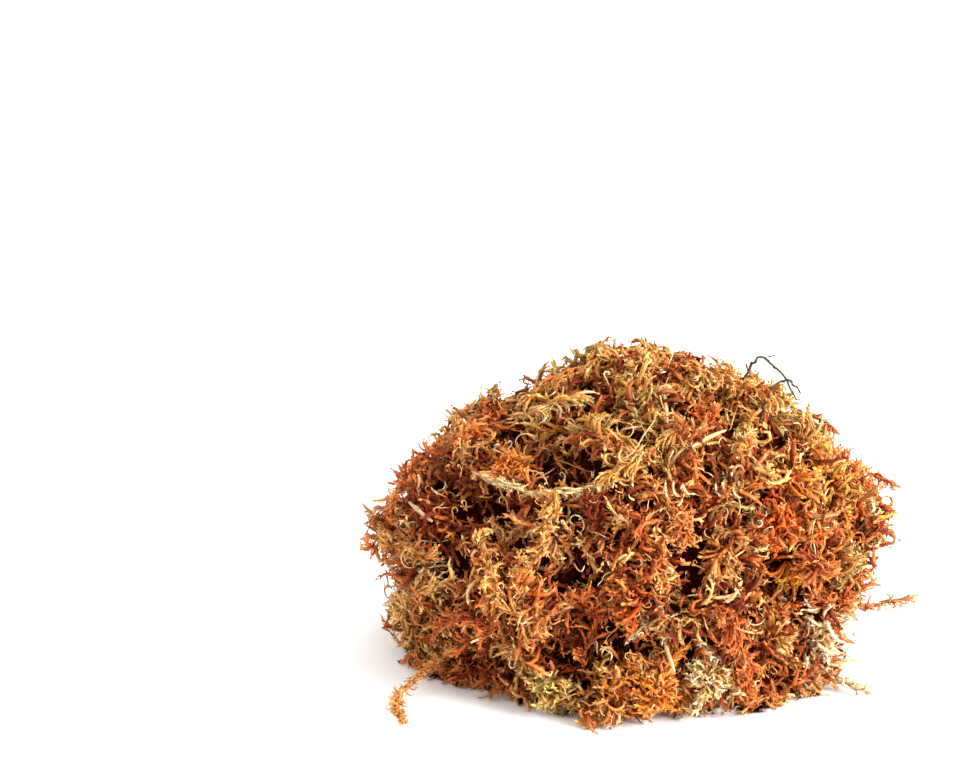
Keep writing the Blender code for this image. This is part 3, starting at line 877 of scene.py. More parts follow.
# Hollows on the front that nothing is rooted in: millimetres right and up, radius
hollows = [
    (-19, 28, 5),
    (22, 30, 6),
    (47, 27, 5),
    (46, 20, 3),
    (-62, 54, 8),
    (-65, 67, 6),
    (-80, 52, 4),
    (-42, 83, 6),
    (-26, 68, 6),
    (-28, -4, 9),
    (-10, 5, 6),
    (60, 14, 5),
    (38, 66, 4),
    (44, 53, 3),
    (-6, 84, 3),
    (-66, 29, 5),
]


def inFrontHollow(place, normal):
    if facing(normal) <= 0.0:
        return False
    right, up = seenAt(place)
    return any(math.hypot(right - across, up - rise) < radius for across, rise, radius in hollows)


def inHollow(place, normal):
    return noise.noise(place * gaps["scale"]) < gaps["level"] or inFrontHollow(place, normal)


def anyWay(pick):
    return Vector([pick.gauss(0.0, 1.0) for axis in range(3)])


class Taken:
    # places already taken, kept in cells so that the near ones are found quickly
    def __init__(self, cell):
        self.cell = cell
        self.cells = {}

    def key(self, place):
        return tuple(math.floor(value / self.cell) for value in place)

    def add(self, place, owner):
        self.cells.setdefault(self.key(place), []).append((place, owner))

    def near(self, place, owner):
        x, y, z = self.key(place)
        for i in (-1, 0, 1):
            for j in (-1, 0, 1):
                for k in (-1, 0, 1):
                    for other, theirs in self.cells.get((x + i, y + j, z + k), ()):
                        if theirs != owner and (other - place).length < self.cell:
                            return True
        return False


def stepAlong(spot, heading, stride, pick, wander):
    # a step over the mound that mostly keeps its heading
    heading = heading + anyWay(pick) * wander + flowAt(spot) * 0.12
    found = mound.find_nearest(spot + heading.normalized() * stride)
    normal = Vector(faceNormal[found[2]])
    return found[0], normal, found[2], alongSurface(heading, normal)


def layUnder(regions, pick):
    spot, normal, face = pickSpot(pick)
    heading = alongSurface(anyWay(pick), normal)
    depth = pick.uniform(*under["depth"])
    for step in range(under["steps"]):
        strands = regions[regionOf(spot, normal)]
        hollow = inHollow(spot, normal)
        for arm in range(under["arms"]):
            # painted shade: dimmer under the plumes, and dimmer still in a hollow
            shade = under["shade"] * (under["sunkShade"] if hollow else 1.0)
            foot, tip = strandTints(pick.choice(under["sorts"]), shade, pick)
            size = pick.uniform(*under["size"])
            rise = depth * 1000 + pick.uniform(*under["reach"]) - under["rise"]
            lean = max(under["leastLean"], rise / (under["length"] * size))
            lean = under["sunkLean"] if hollow else lean
            ahead = alongSurface(anyWay(pick), normal) + normal * lean
            sunk = under["sunk"] if hollow else depth
            aside = anyWay(pick) - downCurl(spot, normal)
            strands.add("wisp", pick, spot - normal * sunk, ahead, aside, size, foot, tip)
        spot, normal, face, heading = stepAlong(spot, heading, under["stride"], pick, under["wander"])


def downCurl(place, normal):
    # near the top the strands curl downwards, so that none stands up from the outline
    return normal * (1.2 if place.z > plumes["proudBelow"] - 0.006 else 0.0)


armGrowth = {
    "lean": 0.6,  # how much of the range of angles follows the way that the neighbours hook
    "straying": 28,  # degrees of chance around the stem, and off it
    "opening": 16,
    "gapChance": 0.8,  # how often an arm that would reach over a gap or a hollow is left out, and how far
    "gapReach": 0.009,
    "hollowChance": 0.6,
    "hollowReach": 0.006,
    "shares": (0.78, 0.22),  # of the two sorts
    "kinds": ("spray", "hook", "curl"),
    "kindShares": (0.34, 0.38, 0.28),
    "reach": 0.85,  # how much of its length an arm reaches
    "unrest": 0.45,
    "inward": 0.25,
}


def growArms(strands, place, heading, normal, count, values, sorts, shade, pick, lie, limit):
    # arms lean forward off a stem, evenly over its outer side, and hook the same way as their neighbours;
    # none rises more than the limit above the stem
    least, most = values["angle"]
    least = least + (most - least) * armGrowth["lean"] * abs(lie.x)
    for arm in range(count):
        straying = pick.uniform(-armGrowth["straying"], armGrowth["straying"])
        around = math.radians(values["around"] * (2.0 * (arm + 0.5) / count - 1.0) + straying)
        out = Matrix.Rotation(around, 3, heading) @ alongSurface(normal, heading)
        angle = math.radians(least + pick.uniform(0, armGrowth["opening"]))
        ahead = heading * math.cos(angle) + out * math.sin(angle)
        size = pick.uniform(*values["size"])
        overGap = place + ahead * armGrowth["gapReach"] * size
        if pick.random() < armGrowth["gapChance"] and inHollow(overGap, normal):
            continue
        overHollow = place + ahead * armGrowth["hollowReach"]
        if pick.random() < armGrowth["hollowChance"] and inFrontHollow(overHollow, normal):
            continue
        foot, tip = strandTints(pick.choices(sorts, armGrowth["shares"])[0], shade, pick)
        kind = pick.choices(armGrowth["kinds"], armGrowth["kindShares"])[0]
        reach = branchShapes[kind]["length"] * size * armGrowth["reach"]
        rise = ahead.dot(normal) * reach
        if rise > limit:
            ahead = ahead - normal * ((rise - limit) / reach)
        aside = lie + anyWay(pick) * armGrowth["unrest"] - out * armGrowth["inward"]
        aside = aside - downCurl(place, normal)
        strands.add(kind, pick, place, ahead, aside, size, foot, tip)


def creaseShade(face):
    # painted shade: darker in creases, where the mound sees less of the sky
    return 0.6 + 0.4 * eased(openness[face], 0.35, 0.85)


def layPlume(owner, taken, regions, pick):
    spot, normal, face = pickSpot(pick)
    if taken.near(spot, owner) or openness[face] < plumes["open"] or inHollow(spot, normal):
        return False
    heading = alongSurface(flowAt(spot) + anyWay(pick) * plumes["unrest"], normal)
    depth = pick.uniform(*plumes["depth"])
    crosses = pick.random() < plumes["cross"]
    own = pickSort(spot, normal, pick)
    other = pickSort(spot, normal, pick)
    # painted shade: lift dims a plume the deeper its stem lies
    lift = 1.0 - plumes["paintedDepthShade"] * eased(depth, *plumes["depth"])
    lie = anyWay(pick).normalized()
    for step in range(pick.randint(*plumes["steps"])):
        strands = regions[regionOf(spot, normal)]
        root = spot - normal * depth
        # painted shade from depth and creases goes into the tints of the arms
        shade = lift * creaseShade(face)
        here = patchSort(spot, normal, pick) or own
        proud = pick.random() > plumes["level"] and spot.z < plumes["proudBelow"]
        limit = depth + plumes["proud" if proud else "above"]
        sorts = (here, other)
        growArms(strands, root, heading, normal, plumes["arms"], plumes, sorts, shade, pick, lie, limit)
        if step % 2 == 0:
            foot, tip = strandTints(own, shade, pick)
            strands.add("stemLink", pick, root + normal * 0.0004, heading, normal, 1.0, tip, tip)
        taken.add(spot, owner)
        spot, normal, face, heading = stepAlong(spot, heading, plumes["stride"], pick, plumes["wander"])
        blocked = taken.near(spot, owner) and not crosses
        if blocked or inHollow(spot, normal) or openness[face] < plumes["deep"]:
            break
    # painted shade from depth and creases, for the fan at the end of the plume
    shade = lift * creaseShade(face)
    strands = regions[regionOf(spot, normal)]
    rising = (heading + normal * plumes["endLean"]).normalized()
    rise = pick.choice(plumes["endProud"]) if spot.z < plumes["proudBelow"] else plumes["endProudHigh"]
    limit = depth * plumes["endDepth"] + plumes["proud"] * rise
    root = spot - normal * depth * plumes["endDepth"]
    sorts = (own, other)
    growArms(strands, root, rising, normal, plumes["fan"], plumes, sorts, shade, pick, lie, limit)
    return True


def layTuft(owner, taken, regions, pick):
    spot, normal, face = pickSpot(pick)
    crowded = taken.near(spot, owner) or openness[face] < tufts["open"]
    if crowded or spot.z > plumes["proudBelow"] or inHollow(spot, normal):
        return False
    taken.add(spot, owner)
    own = pickSort(spot, normal, pick)
    other = pickSort(spot, normal, pick)
    lean = (normal + anyWay(pick) * tufts["lean"]).normalized()
    strands = regions[regionOf(spot, normal)]
    for arm in range(pick.randint(*tufts["arms"])):
        slope = math.radians(tufts["spread"] * math.sqrt(pick.random()))
        tilted = Matrix.Rotation(slope, 3, lean.orthogonal()) @ lean
        ahead = Matrix.Rotation(pick.uniform(0, 6.283), 3, lean) @ tilted
        foot, tip = strandTints(pick.choices((own, other), tufts["shares"])[0], 1.0, pick)
        root = spot - normal * tufts["depth"] + anyWay(pick) * tufts["stagger"]
        kind = pick.choice(("curl", "hook", "bud"))
        aside = anyWay(pick) - lean * tufts["droop"]
        strands.add(kind, pick, root, ahead, aside, pick.uniform(*tufts["size"]), foot, tip)
    return True


def laySkirt(regions, pick):
    made = 0
    for attempt in range(skirt["tries"]):
        spot, normal, face = pickSpot(pick)
        if made == skirt["strands"]:
            break
        if spot.z > skirt["height"] or normal.z < -0.6:
            continue
        made += 1
        # painted shade: the strands are darker the nearer they lie to the floor
        foot, tip = strandTints(pickSort(spot, normal, pick), 0.75 + spot.z * 18, pick)
        ahead = alongSurface(anyWay(pick) + Vector((0.0, 0.0, -0.3)), normal)
        ahead = ahead + normal * pick.uniform(-0.3, 0.1)
        root = spot - normal * pick.uniform(*skirt["depth"]) - ahead * 0.004
        kind = pick.choice(("curl", "hook", "spray"))
        aside = anyWay(pick)
        strands = regions[regionOf(spot, normal)]
        strands.add(kind, pick, root, ahead, aside, pick.uniform(0.6, 1.0), foot, tip)


def layStrand(values, regions, pick):
    spot, normal, face = pickSpot(pick)
    if pick.random() > eased(openness[face], *values["open"]) or inHollow(spot, normal):
        return
    foot, tip = strandTints(pickSort(spot, normal, pick), 1.0, pick)
    ahead = alongSurface(flowAt(spot) + anyWay(pick), normal) + normal * pick.uniform(*values["lean"])
    root = spot - normal * pick.uniform(0.003, 0.006)
    kind = pick.choice(("hook", "curl", "spray"))
    aside = anyWay(pick) - downCurl(spot, normal)
    strands = regions[regionOf(spot, normal)]
    strands.add(kind, pick, root, ahead, aside, pick.uniform(*values["size"]), foot, tip)


def layThread(values, regions, pick):
    spot, normal, face = pickSpot(pick)
    if pick.random() > eased(openness[face], *values["open"]):
        return
    sort = pick.choices(("straw", "gold", "cream", "amber"), (0.4, 0.3, 0.12, 0.18))[0]
    foot, tip = strandTints(sort, 1.0, pick)
    ahead = alongSurface(anyWay(pick), normal) + normal * pick.uniform(*values["lean"])
    root = spot - normal * pick.uniform(0.0, 0.003)
    aside = anyWay(pick)
    strands = regions[regionOf(spot, normal)]
    strands.add("thread", pick, root, ahead, aside, pick.uniform(*values["size"]), foot, tip)


def layStalk(values, regions, pick):
    spot, normal, face = pickSpot(pick)
    if pick.random() > eased(openness[face], *values["open"]):
        return
    foot, tip = strandTints(pick.choice(("rust", "amber", "straw", "mauve")), 1.0, pick)
    lie = flowAt(spot) + anyWay(pick) * 0.5
    ahead = alongSurface(lie, normal) + normal * pick.uniform(*values["lean"])
    start = spot - normal * 0.003 - ahead * 0.010
    aside = anyWay(pick)
    strands = regions[regionOf(spot, normal)]
    strands.add("stalk", pick, start, ahead, aside, pick.uniform(*values["size"]), tip * 0.7, tip)


def layChip(values, regions, pick):
    spot, normal, face = pickSpot(pick)
    foot, tip = strandTints(pick.choice(("cream", "straw", "gold")), 0.95, pick)
    ahead = alongSurface(anyWay(pick), normal) + normal * pick.uniform(*values["lean"])
    aside = normal.cross(ahead) + anyWay(pick) * 0.4
    strands = regions[regionOf(spot, normal)]
    strands.add("chip", pick, spot, ahead, aside, pick.uniform(*values["size"]), foot, tip)


# Single strands that can be told apart on the front: sort of shape, millimetres right and up, the way it
# runs in degrees from the right, size, tint
marks = [
    ("ring", 17, 82, 60, 0.95, "straw"),
    ("ring", -80, 37, 200, 0.85, "straw"),
    ("ring", 71, 50, 90, 0.95, "cream"),
    ("ring", -18, 43, 30, 0.95, "straw"),
    ("ring", -34, 75, 100, 0.85, "straw"),
    ("ring", -5, 81, 240, 0.95, "gold"),
    ("ring", -70, 16, 120, 1.7, "rust"),
    ("thread", 41, 43, 20, 1.0, "cream"),
    ("thread", 45, 45, 40, 1.0, "cream"),
    ("thread", -73, 30, 10, 1.0, "cream"),
    ("stalk", -78, 39, 5, 0.6, "cream"),
    ("spray", 12, 62, 258, 0.6, "straw"),
    ("spray", 15, 62, 250, 0.6, "straw"),
    ("bud", 18, 61, 268, 0.8, "straw"),
    ("spray", 30, 61, 255, 0.55, "straw"),
    ("bud", 33, 62, 246, 0.85, "straw"),
    ("spray", 36, 60, 265, 0.5, "cream"),
    ("thread", -12, -1, 80, 0.9, "cream"),
    ("thread", -8, -3, 60, 0.9, "cream"),
    ("thread", -2, 5, 350, 1.2, "straw"),
    ("curl", 42, 78, 290, 1.25, "gold"),
    ("curl", 42, 68, 300, 1.2, "gold"),
    ("hook", 46, 62, 320, 1.1, "gold"),
    ("hook", 24, 17, 15, 0.9, "gold"),
    ("spray", 27, 20, 350, 0.9, "straw"),
    ("spray", 26, 18, 40, 0.8, "gold"),
    ("bud", 32, 18, 10, 1.1, "straw"),
    ("spray", 70, 12, 280, 0.9, "cream"),
    ("hook", 76, 8, 250, 0.8, "cream"),
    ("spray", 66, 4, 300, 0.9, "cream"),
    ("spray", 74, 0, 290, 0.8, "cream"),
    ("bud", 70, -4, 320, 1.0, "cream"),
    ("hook", 22, -6, 250, 0.8, "cream"),
    ("spray", 28, -8, 280, 0.7, "cream"),
    ("bud", -4, 104, 95, 0.9, "orange"),
    ("bud", -1, 103, 80, 0.8, "amber"),
    ("bud", -6, 103, 116, 0.9, "ochre"),
    ("stalk", -49, 92, 16, 1.3, "gold"),
    ("stalk", -46, 95, 10, 1.1, "straw"),
    ("stalk", -55, 64, 355, 1.3, "straw"),
    ("stalk", -6, 68, 24, 1.0, "straw"),
]


def layMarks(regions, pick):
    across = Vector((1.0, 0.0, 0.0))
    upward = Vector((0.0, pitchSine, pitchCosine))
    towards = Vector((0.0, -pitchCosine, pitchSine))
    for kind, right, up, turn, size, sort in marks:
        start = measuredFrom + across * right / 1000 + upward * up / 1000 + towards * 0.5
        spot, normal, face, distance = mound.ray_cast(start, -towards)
        if spot is None:
            continue
        ahead = across * math.cos(math.radians(turn)) + upward * math.sin(math.radians(turn))
        aside = towards.cross(ahead) + towards * 0.15
        foot, tip = strandTints(sort, 1.0, pick)
        outward = Vector(faceNormal[face])
        strands = regions[regionOf(spot, outward)]
        strands.add(kind, pick, spot + towards * 0.0012, ahead, aside, size, foot * 0.3 + tip * 0.7, tip)


def makeTangle():
    pick = random.Random(41)
    names = ("crown", "front_left", "front_right", "back_left", "back_right")
    regions = {name: Strands() for name in names}
    for shoot in range(under["shoots"]):
        layUnder(regions, pick)
    taken = Taken(plumes["apart"])
    made = 0
    for attempt in range(plumes["tries"]):
        if made < plumes["count"] and layPlume(attempt, taken, regions, pick):
            made += 1
    small = 0
    for attempt in range(tufts["tries"]):
        if small < tufts["count"] and layTuft(-attempt - 1, taken, regions, pick):
            small += 1
    print("  plumes", made, "tufts", small)
    laySkirt(regions, pick)
    lays = {"strands": layStrand, "threads": layThread, "stalks": layStalk, "chips": layChip}
    for sort, lay in lays.items():
        for number in range(loose[sort]["count"]):
            lay(loose[sort], regions, pick)
    layMarks(regions, pick)
    for name, strands in regions.items():
        strands.join("moss_" + name, "tangled_moss", ["moss_mound"])


makeTangle()
print("stage: tangle")

# The packed inside of the clump, coloured near-black as painted shade, which only shows through the gaps

shadeCore = {
    "voxel": 0.003,
    "inset": 0.0096,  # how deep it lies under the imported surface, and in how many passes it shrinks
    "passes": 5,
    "rough": 0.0028,
    "scale": 230.0,
    "tuck": 0.07,  # how much it draws in at the foot, up to this height
    "tuckHeight": 0.022,
    "foot": 0.0006,
}


def shadeCoreFinish():
    board = Board("paintedShadeCore")
    place = board.objectPlace()
    fineMottle = board.speckle(place, 620.0, 6.0)
    broadMottle = board.speckle(place, 120.0, 3.0)
    # painted shade: near-black to dark red-brown, standing in for the shade deep inside the tangle
    stops = ((0.38, (0.006, 0.001, 0.001)), (0.52, (0.026, 0.003, 0.001)), (0.70, (0.090, 0.016, 0.004)))
    colour = board.ramp(fineMottle * 0.65 + broadMottle * 0.35, *stops)
    rough = 0.8 + 0.15 * fineMottle
    bump = board.bump(fineMottle, 0.0012, 1.0)
    return board.shade(Base_Color=colour, Roughness=rough, Normal=bump, Specular_IOR_Level=0.02)


def makeShadeCore():
    bm = bmesh.new()
    bm.from_mesh(moundMesh)
    bmesh.ops.remove_doubles(bm, verts=bm.verts, dist=1e-5)
    source = addObject("shadeCoreSource", meshFrom(bm, "shadeCoreSource"))
    voxels = source.modifiers.new("voxels", "REMESH")
    voxels.mode = "VOXEL"
    voxels.voxel_size = shadeCore["voxel"]
    graph = bpy.context.evaluated_depsgraph_get()
    shrunk = bpy.data.meshes.new_from_object(source.evaluated_get(graph))
    bpy.data.objects.remove(source)
    bm = bmesh.new()
    bm.from_mesh(shrunk)
    for step in range(shadeCore["passes"]):
        bm.normal_update()
        for vert in bm.verts:
            vert.co -= vert.normal * (shadeCore["inset"] / shadeCore["passes"])
        axes = {"use_axis_x": True, "use_axis_y": True, "use_axis_z": True}
        bmesh.ops.smooth_vert(bm, verts=bm.verts, factor=0.5, **axes)
    bm.normal_update()
    for vert in bm.verts:
        vert.co += vert.normal * noise.noise(vert.co * shadeCore["scale"]) * shadeCore["rough"]
        vert.co.xy *= 1.0 - shadeCore["tuck"] * (1.0 - eased(vert.co.z, 0.004, shadeCore["tuckHeight"]))
        vert.co.z = max(vert.co.z, shadeCore["foot"])
    bm.to_mesh(shrunk)
    bm.free()
    shrunk.name = "moss_shade_core"
    shrunk.materials.clear()
    addPiece("moss_shade_core", shrunk, shadeCoreFinish(), ["moss_mound"])


makeShadeCore()
print("stage: litter")

# Heads of shoots: dense rosettes whose arms arch over from the middle

rosette = {
    "arms": 58,
    "open": 1.15,
    "base": 0.35,  # how deep the arms' common point lies, as a share of the radius
    "reach": 1.3,
    "start": (0.05, 0.6),
    "length": (0.8, 1.3),
    "ragged": 0.62,
    "droop": 0.3,
    "own": 0.6,  # the share of arms of the first sort
    "dim": 0.8,
    "kinds": ("bud", "hook", "curl"),
    "shares": (0.4, 0.35, 0.25),
    "size": (0.45, 1.1),
}

headSorts = {
    "rust_head_right": ("scarlet", "orange"),
    "rust_head_low_right": ("orange", "orange"),
    "rust_head_left": ("ember", "orange"),
    "rust_head_top": ("rust", "scarlet"),
    "rust_head_foot": ("ember", "amber"),
    "rust_head_middle": ("orange", "amber"),
    "pale_head_foot": ("straw", "gold"),
    "pale_head_side": ("olive", "straw"),
    "pale_head_corner": ("cream", "straw"),
    "gold_head_foot": ("olive", "gold"),
    "gold_head_top": ("gold", "amber"),
    "gold_head_shoulder": ("olive", "gold"),
}


def nodeTree(node):
    mesh = frame["nodes"][node].data
    mesh.calc_loop_triangles()
    points = [vert.co.copy() for vert in mesh.vertices]
    return points, BVHTree.FromPolygons(points, [tuple(face.vertices) for face in mesh.loop_triangles])


def dressHead(node, sorts):
    pick = random.Random(len(node) * 31 + ord(node[-1]))
    low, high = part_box(node)
    points, surface = nodeTree(node)
    middle = sum(points, Vector()) / len(points)
    outward = Vector(faceNormal[mound.find_nearest(middle)[2]])
    outward = (outward + Vector((middle.x, middle.y, middle.z - 0.03)).normalized()).normalized()
    radius = max(high - low) / 2
    base = middle - outward * radius * rosette["base"]
    one = outward.orthogonal().normalized()
    two = outward.cross(one)
    smallest, largest = rosette["size"]
    strands = Strands()
    for number in range(rosette["arms"]):
        rise = 1.0 - (number + 0.5) / rosette["arms"] * rosette["open"]
        flat = math.sqrt(max(0.0, 1.0 - rise * rise))
        around = number * goldenAngle + pick.uniform(-0.2, 0.2)
        ray = (outward * rise + one * flat * math.cos(around) + two * flat * math.sin(around)).normalized()
        hit = surface.ray_cast(base + ray * 0.05, -ray)[0]
        reach = (hit - base).length if hit else radius
        reach = min(reach, radius * rosette["reach"])
        start = pick.uniform(*rosette["start"])
        root = base + ray * reach * start
        length = reach * (1.0 - start) * pick.uniform(*rosette["length"])
        foot, tip = strandTints(sorts[0] if pick.random() < rosette["own"] else sorts[1], 1.0, pick)
        ahead = (ray + anyWay(pick) * rosette["ragged"]).normalized()
        aside = anyWay(pick) * 0.9 - outward * rosette["droop"]
        kind = pick.choices(rosette["kinds"], rosette["shares"])[0]
        size = min(largest, max(smallest, length / branchShapes[kind]["length"]))
        strands.add(kind, pick, root, ahead, aside, size, foot * rosette["dim"], tip)
    strands.join("strands_" + node, slotOf[node], [node])


for node, sorts in headSorts.items():
    dressHead(node, sorts)
print("stage: heads")

# Leafy sprigs and strays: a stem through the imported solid, with arms on all sides

sprigShapes = namedRows("stride arms around angle size fan stem stagger", {
    "sprig": (0.0017, 3, 110, (6, 40), (0.34, 0.80), 6, 1.3, 0.0008),
    "stray": (0.0012, 4, 180, (14, 44), (0.24, 0.44), 7, 1.9, 0.0003),
    "thin": (0.0015, 2, 120, (4, 26), (0.26, 0.50), 4, 1.7, 0.0006),
})

sprigSorts = {
    "gold": (("gold", "amber"), ("gold", "straw"), ("amber", "gold")),
    "rust": (("rust", "orange"), ("orange", "amber"), ("rust", "amber")),
    "pale": (("straw", "gold"), ("straw", "cream")),
    "gold_stray_left": (("amber", "orange"),),
    "rust_stray_right": (("amber", "mauve"),),
    "rust_stray_side": (("rust", "amber"),),
    "rust_stray_top_right": (("rust", "mauve"),),
    "pale_sprig_across": (("straw", "gold"),),
    "pale_stray_corner": (("cream", "straw"),),
}


def spineOf(points, stride):
    # a smooth line through the middle of the solid, along its longest way
    table = np.array(points)
    middle = table.mean(axis=0)
    longest = np.linalg.svd(table - middle, full_matrices=False)[2][0]
    place = (table - middle) @ longest
    low = place.min()
    high = place.max()
    bins = max(5, int((high - low) / 0.004))
    which = np.minimum(((place - low) / (high - low) * bins).astype(int), bins - 1)
    line = [table[which == number].mean(axis=0) for number in range(bins) if (which == number).any()]
    for step in range(2):
        inner = [(a + b * 2 + c) / 4 for a, b, c in zip(line, line[1:], line[2:])]
        line = [line[0], *inner, line[-1]]
    fine = []
    for one, two in zip(line[:-1], line[1:]):
        pieces = max(1, round(np.linalg.norm(two - one) / stride))
        fine.extend(Vector(one + (two - one) * (step / pieces)) for step in range(pieces))
    fine.append(Vector(line[-1]))
    return fine


def dressSprig(node):
    stray = "stray" in node
    hidden = "back" in node
    values = sprigShapes["stray" if stray else "thin" if node == "pale_sprig_across" else "sprig"]
    pick = random.Random(sum(ord(letter) for letter in node))
    sorts = pick.choice(sprigSorts.get(node, sprigSorts[node.split("_")[0]]))
    limit = 0.02 if stray else 0.0024 if hidden else 0.0040
    points, surface = nodeTree(node)
    spine = spineOf(points, values["stride"])
    # a stray grows outwards, so its fan is at its free end
    if (spine[0].xy.length > spine[-1].xy.length) if stray else (pick.random() < 0.5):
        spine.reverse()
    strands = Strands()
    lie = anyWay(pick).normalized()
    for number, spot in enumerate(spine):
        heading = (spine[min(number + 1, len(spine) - 1)] - spine[max(number - 1, 0)]).normalized()
        found = mound.find_nearest(spot)
        normal = Vector(faceNormal[found[2]]) if found[3] < 0.012 else Vector((0.0, 0.0, 1.0))
        lie = (lie + anyWay(pick) * 0.5).normalized()
        spot = spot + anyWay(pick) * values["stagger"] - normal * (0.0012 if hidden else 0.0)
        growArms(strands, spot, heading, normal, values["arms"], values, sorts, 1.0, pick, lie, limit)
        foot, tip = strandTints(sorts[0], 0.85, pick)
        strands.add("stemLink", pick, spot - heading * 0.001, heading, normal, values["stem"], tip, tip)
    growArms(strands, spine[-1], heading, normal, values["fan"], values, sorts, 1.0, pick, lie, limit)
    strands.join("strands_" + node, slotOf[node], [node])


for node in sorted(frame["nodes"]):
    if "_sprig_" in node or "_stray_" in node:
        dressSprig(node)
print("stage: sprigs and strays")

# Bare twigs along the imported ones, with short broken spurs, and split blades of straw

twigs = {
    # places in millimetres, and the radius at the thick end
    "twig_arch": (((38, -2, 98), (42, -2, 107), (47, -3, 113), (53, -4, 109), (60, -6, 98)), 0.62),
    "twig_fork": (((46, -16, 92), (50, -14, 103), (56, -12, 108), (62, -13, 102)), 0.56),
    "twig_back": (((18, 62, 58), (10, 76, 68), (-4, 79, 69), (-15, 62, 57)), 0.7),
}

twigDetail = {"steps": 5, "sides": 6, "taper": 0.35, "knots": 0.25, "kinks": 0.0004}
spurDetail = {"count": 4, "length": 0.0045, "sides": 5, "kinks": 0.00015}


def finishBark():
    board = Board("twigBark")
    place = board.objectPlace()
    ridges = board.speckle(place, 700.0, 5.0)
    lichen = board.speckle(place, 160.0, 2.0)
    stops = ((0.3, (0.022, 0.016, 0.009)), (0.55, (0.060, 0.046, 0.026)), (0.8, (0.150, 0.120, 0.075)))
    colour = board.ramp(ridges * 0.7 + lichen * 0.3, *stops)
    rough = 0.6 + 0.35 * ridges
    bump = board.bump(ridges, 0.0002, 1.0)
    return board.shade(Base_Color=colour, Roughness=rough, Normal=bump, Specular_IOR_Level=0.15)


def finishStraw():
    board = Board("dryStraw")
    place = board.objectPlace()
    bands = {"Vector": place, "Scale": 900.0, "Distortion": 3.0, "Detail": 3.0}
    fibres = board.node("ShaderNodeTexWave", {"bands_direction": "X"}, bands, 1)
    stain = board.speckle(place, 260.0, 3.0)
    stops = ((0.25, (0.30, 0.13, 0.04)), (0.5, (0.54, 0.31, 0.12)), (0.8, (0.76, 0.54, 0.29)))
    colour = board.ramp(fibres * 0.45 + stain * 0.6, *stops)
    rough = 0.42 + 0.25 * stain
    return board.shade(Base_Color=colour, Roughness=rough, Normal=board.bump(fibres, 0.0001, 0.7))


def smoothLine(points, steps):
    # a smooth curve through the points
    full = [points[0] * 2 - points[1]] + points + [points[-1] * 2 - points[-2]]
    line = []
    for a, b, c, d in zip(full, full[1:], full[2:], full[3:]):
        for step in range(steps):
            t = step / steps
            bend = (a * 2 - b * 5 + c * 4 - d) * t * t + (b * 3 - a - c * 3 + d) * t * t * t
            line.append((b * 2 + (c - a) * t + bend) / 2)
    line.append(points[-1].copy())
    return line


def headedSpine(line):
    heading = (line[1] - line[0]).to_track_quat("Z", "Y").to_matrix()
    spine = []
    for number, place in enumerate(line):
        ahead = (line[min(number + 1, len(line) - 1)] - line[max(number - 1, 0)]).normalized()
        heading = (heading @ Vector((0.0, 0.0, 1.0))).rotation_difference(ahead).to_matrix() @ heading
        spine.append((place, heading.copy()))
    return spine


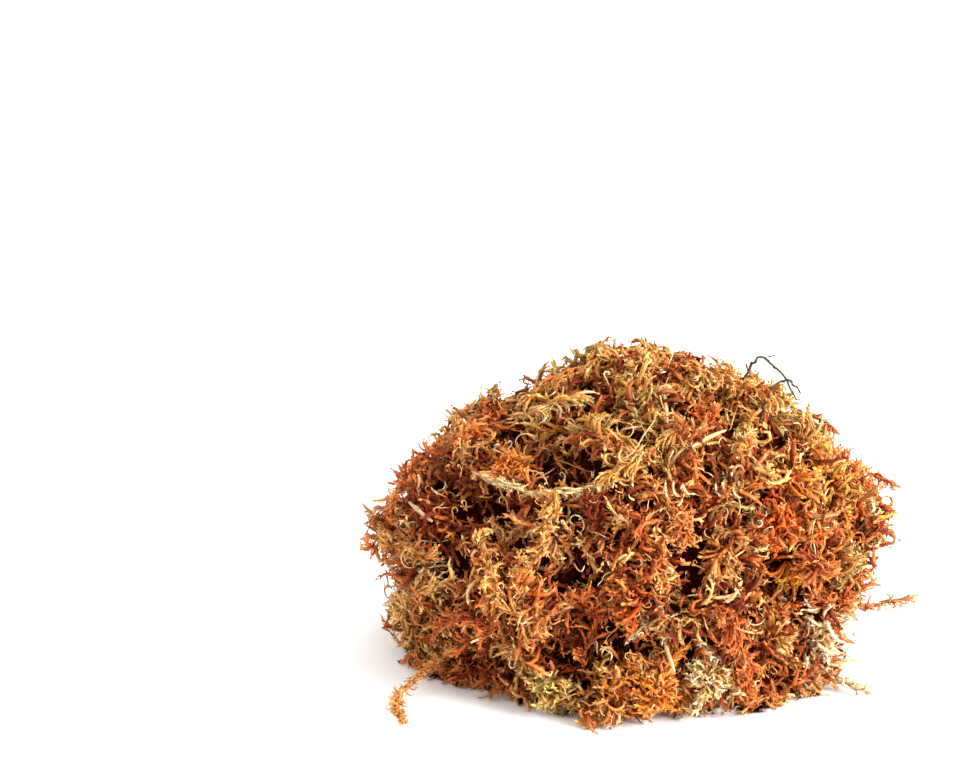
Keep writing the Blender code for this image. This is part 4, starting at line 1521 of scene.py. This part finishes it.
def makeTwig(node, points, radius, finish):
    pick = random.Random(len(points) + len(node))
    line = smoothLine([Vector(point) / 1000 + measuredFrom for point in points], twigDetail["steps"])
    for number in range(2, len(line) - 2):
        line[number] += anyWay(pick) * twigDetail["kinks"]
    spine = headedSpine(line)
    last = len(spine) - 1
    radii = []
    for number in range(len(spine)):
        knot = 1.0 + (twigDetail["knots"] if number % 5 == 2 else pick.uniform(-0.08, 0.08))
        radii.append(radius / 1000 * knot * (1.0 - twigDetail["taper"] * number / last))
    bm = bmesh.new()
    drawAlong(bm, spine, radii, twigDetail["sides"])
    for spur in range(spurDetail["count"]):
        place, heading = spine[int(last * (0.25 + 0.6 * spur / spurDetail["count"]))]
        side = Matrix.Rotation(pick.uniform(0.0, 6.28), 3, "Z") @ Vector((0.8, 0.0, 0.7))
        ahead = (heading @ side).normalized()
        length = spurDetail["length"] * pick.uniform(0.4, 1.3)
        steps = []
        for share in (0.0, 0.35, 0.7, 1.0):
            steps.append(place + ahead * length * share + anyWay(pick) * spurDetail["kinks"] * share)
        widths = [radius / 1000 * share for share in (0.55, 0.45, 0.35, 0.2)]
        drawAlong(bm, headedSpine(steps), widths, spurDetail["sides"])
    bmesh.ops.recalc_face_normals(bm, faces=bm.faces)
    addPiece("bare_" + node, meshFrom(bm, "bare_" + node), finish, [node])


strawBlade = {"width": 0.6, "pieces": 12, "fold": 0.0004, "thick": 0.0002, "bow": 0.0007, "ragged": 0.0011}


def makeStraw(node, finish):
    # a flat blade, folded along its middle and torn at both ends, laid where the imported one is
    pick = random.Random(ord(node[-1]))
    points, surface = nodeTree(node)
    table = np.array(points)
    middle = (table.min(axis=0) + table.max(axis=0)) / 2
    ways = np.linalg.svd(table - table.mean(axis=0), full_matrices=False)[2]
    spread = np.abs((table - middle) @ ways.T).max(axis=0)
    bm = bmesh.new()
    bmesh.ops.create_grid(bm, x_segments=4, y_segments=strawBlade["pieces"], size=1.0)
    for vert in bm.verts:
        share = vert.co.y
        width = 1.0 - 0.35 * share * share + 0.08 * math.sin(share * 7.0)
        width = spread[1] * strawBlade["width"] * width
        ends = strawBlade["ragged"] * pick.uniform(-1.0, 0.6) if abs(share) > 0.99 else 0.0
        lift = strawBlade["fold"] * abs(vert.co.x) + strawBlade["bow"] * share * share
        vert.co = Vector((vert.co.x * width, share * spread[0] + math.copysign(ends, share), -lift))
    bmesh.ops.recalc_face_normals(bm, faces=bm.faces)
    bmesh.ops.solidify(bm, geom=list(bm.faces), thickness=strawBlade["thick"])
    bmesh.ops.recalc_face_normals(bm, faces=bm.faces)
    outward = Vector(ways[2])
    if outward.dot(Vector(faceNormal[mound.find_nearest(Vector(middle))[2]])) < 0:
        outward.negate()
    long = Vector(ways[0])
    turn = Matrix((long.cross(outward), long, outward)).transposed().to_4x4()
    bmesh.ops.transform(bm, matrix=Matrix.Translation(middle) @ turn, verts=bm.verts)
    addPiece("blade_" + node, meshFrom(bm, "blade_" + node), finish, [node])


barkFinish = finishBark()
for node, (points, radius) in twigs.items():
    makeTwig(node, points, radius, barkFinish)
strawFinish = finishStraw()
for node in sorted(frame["nodes"]):
    if slotOf[node] == "straw":
        makeStraw(node, strawFinish)
print("stage: twigs and straws")
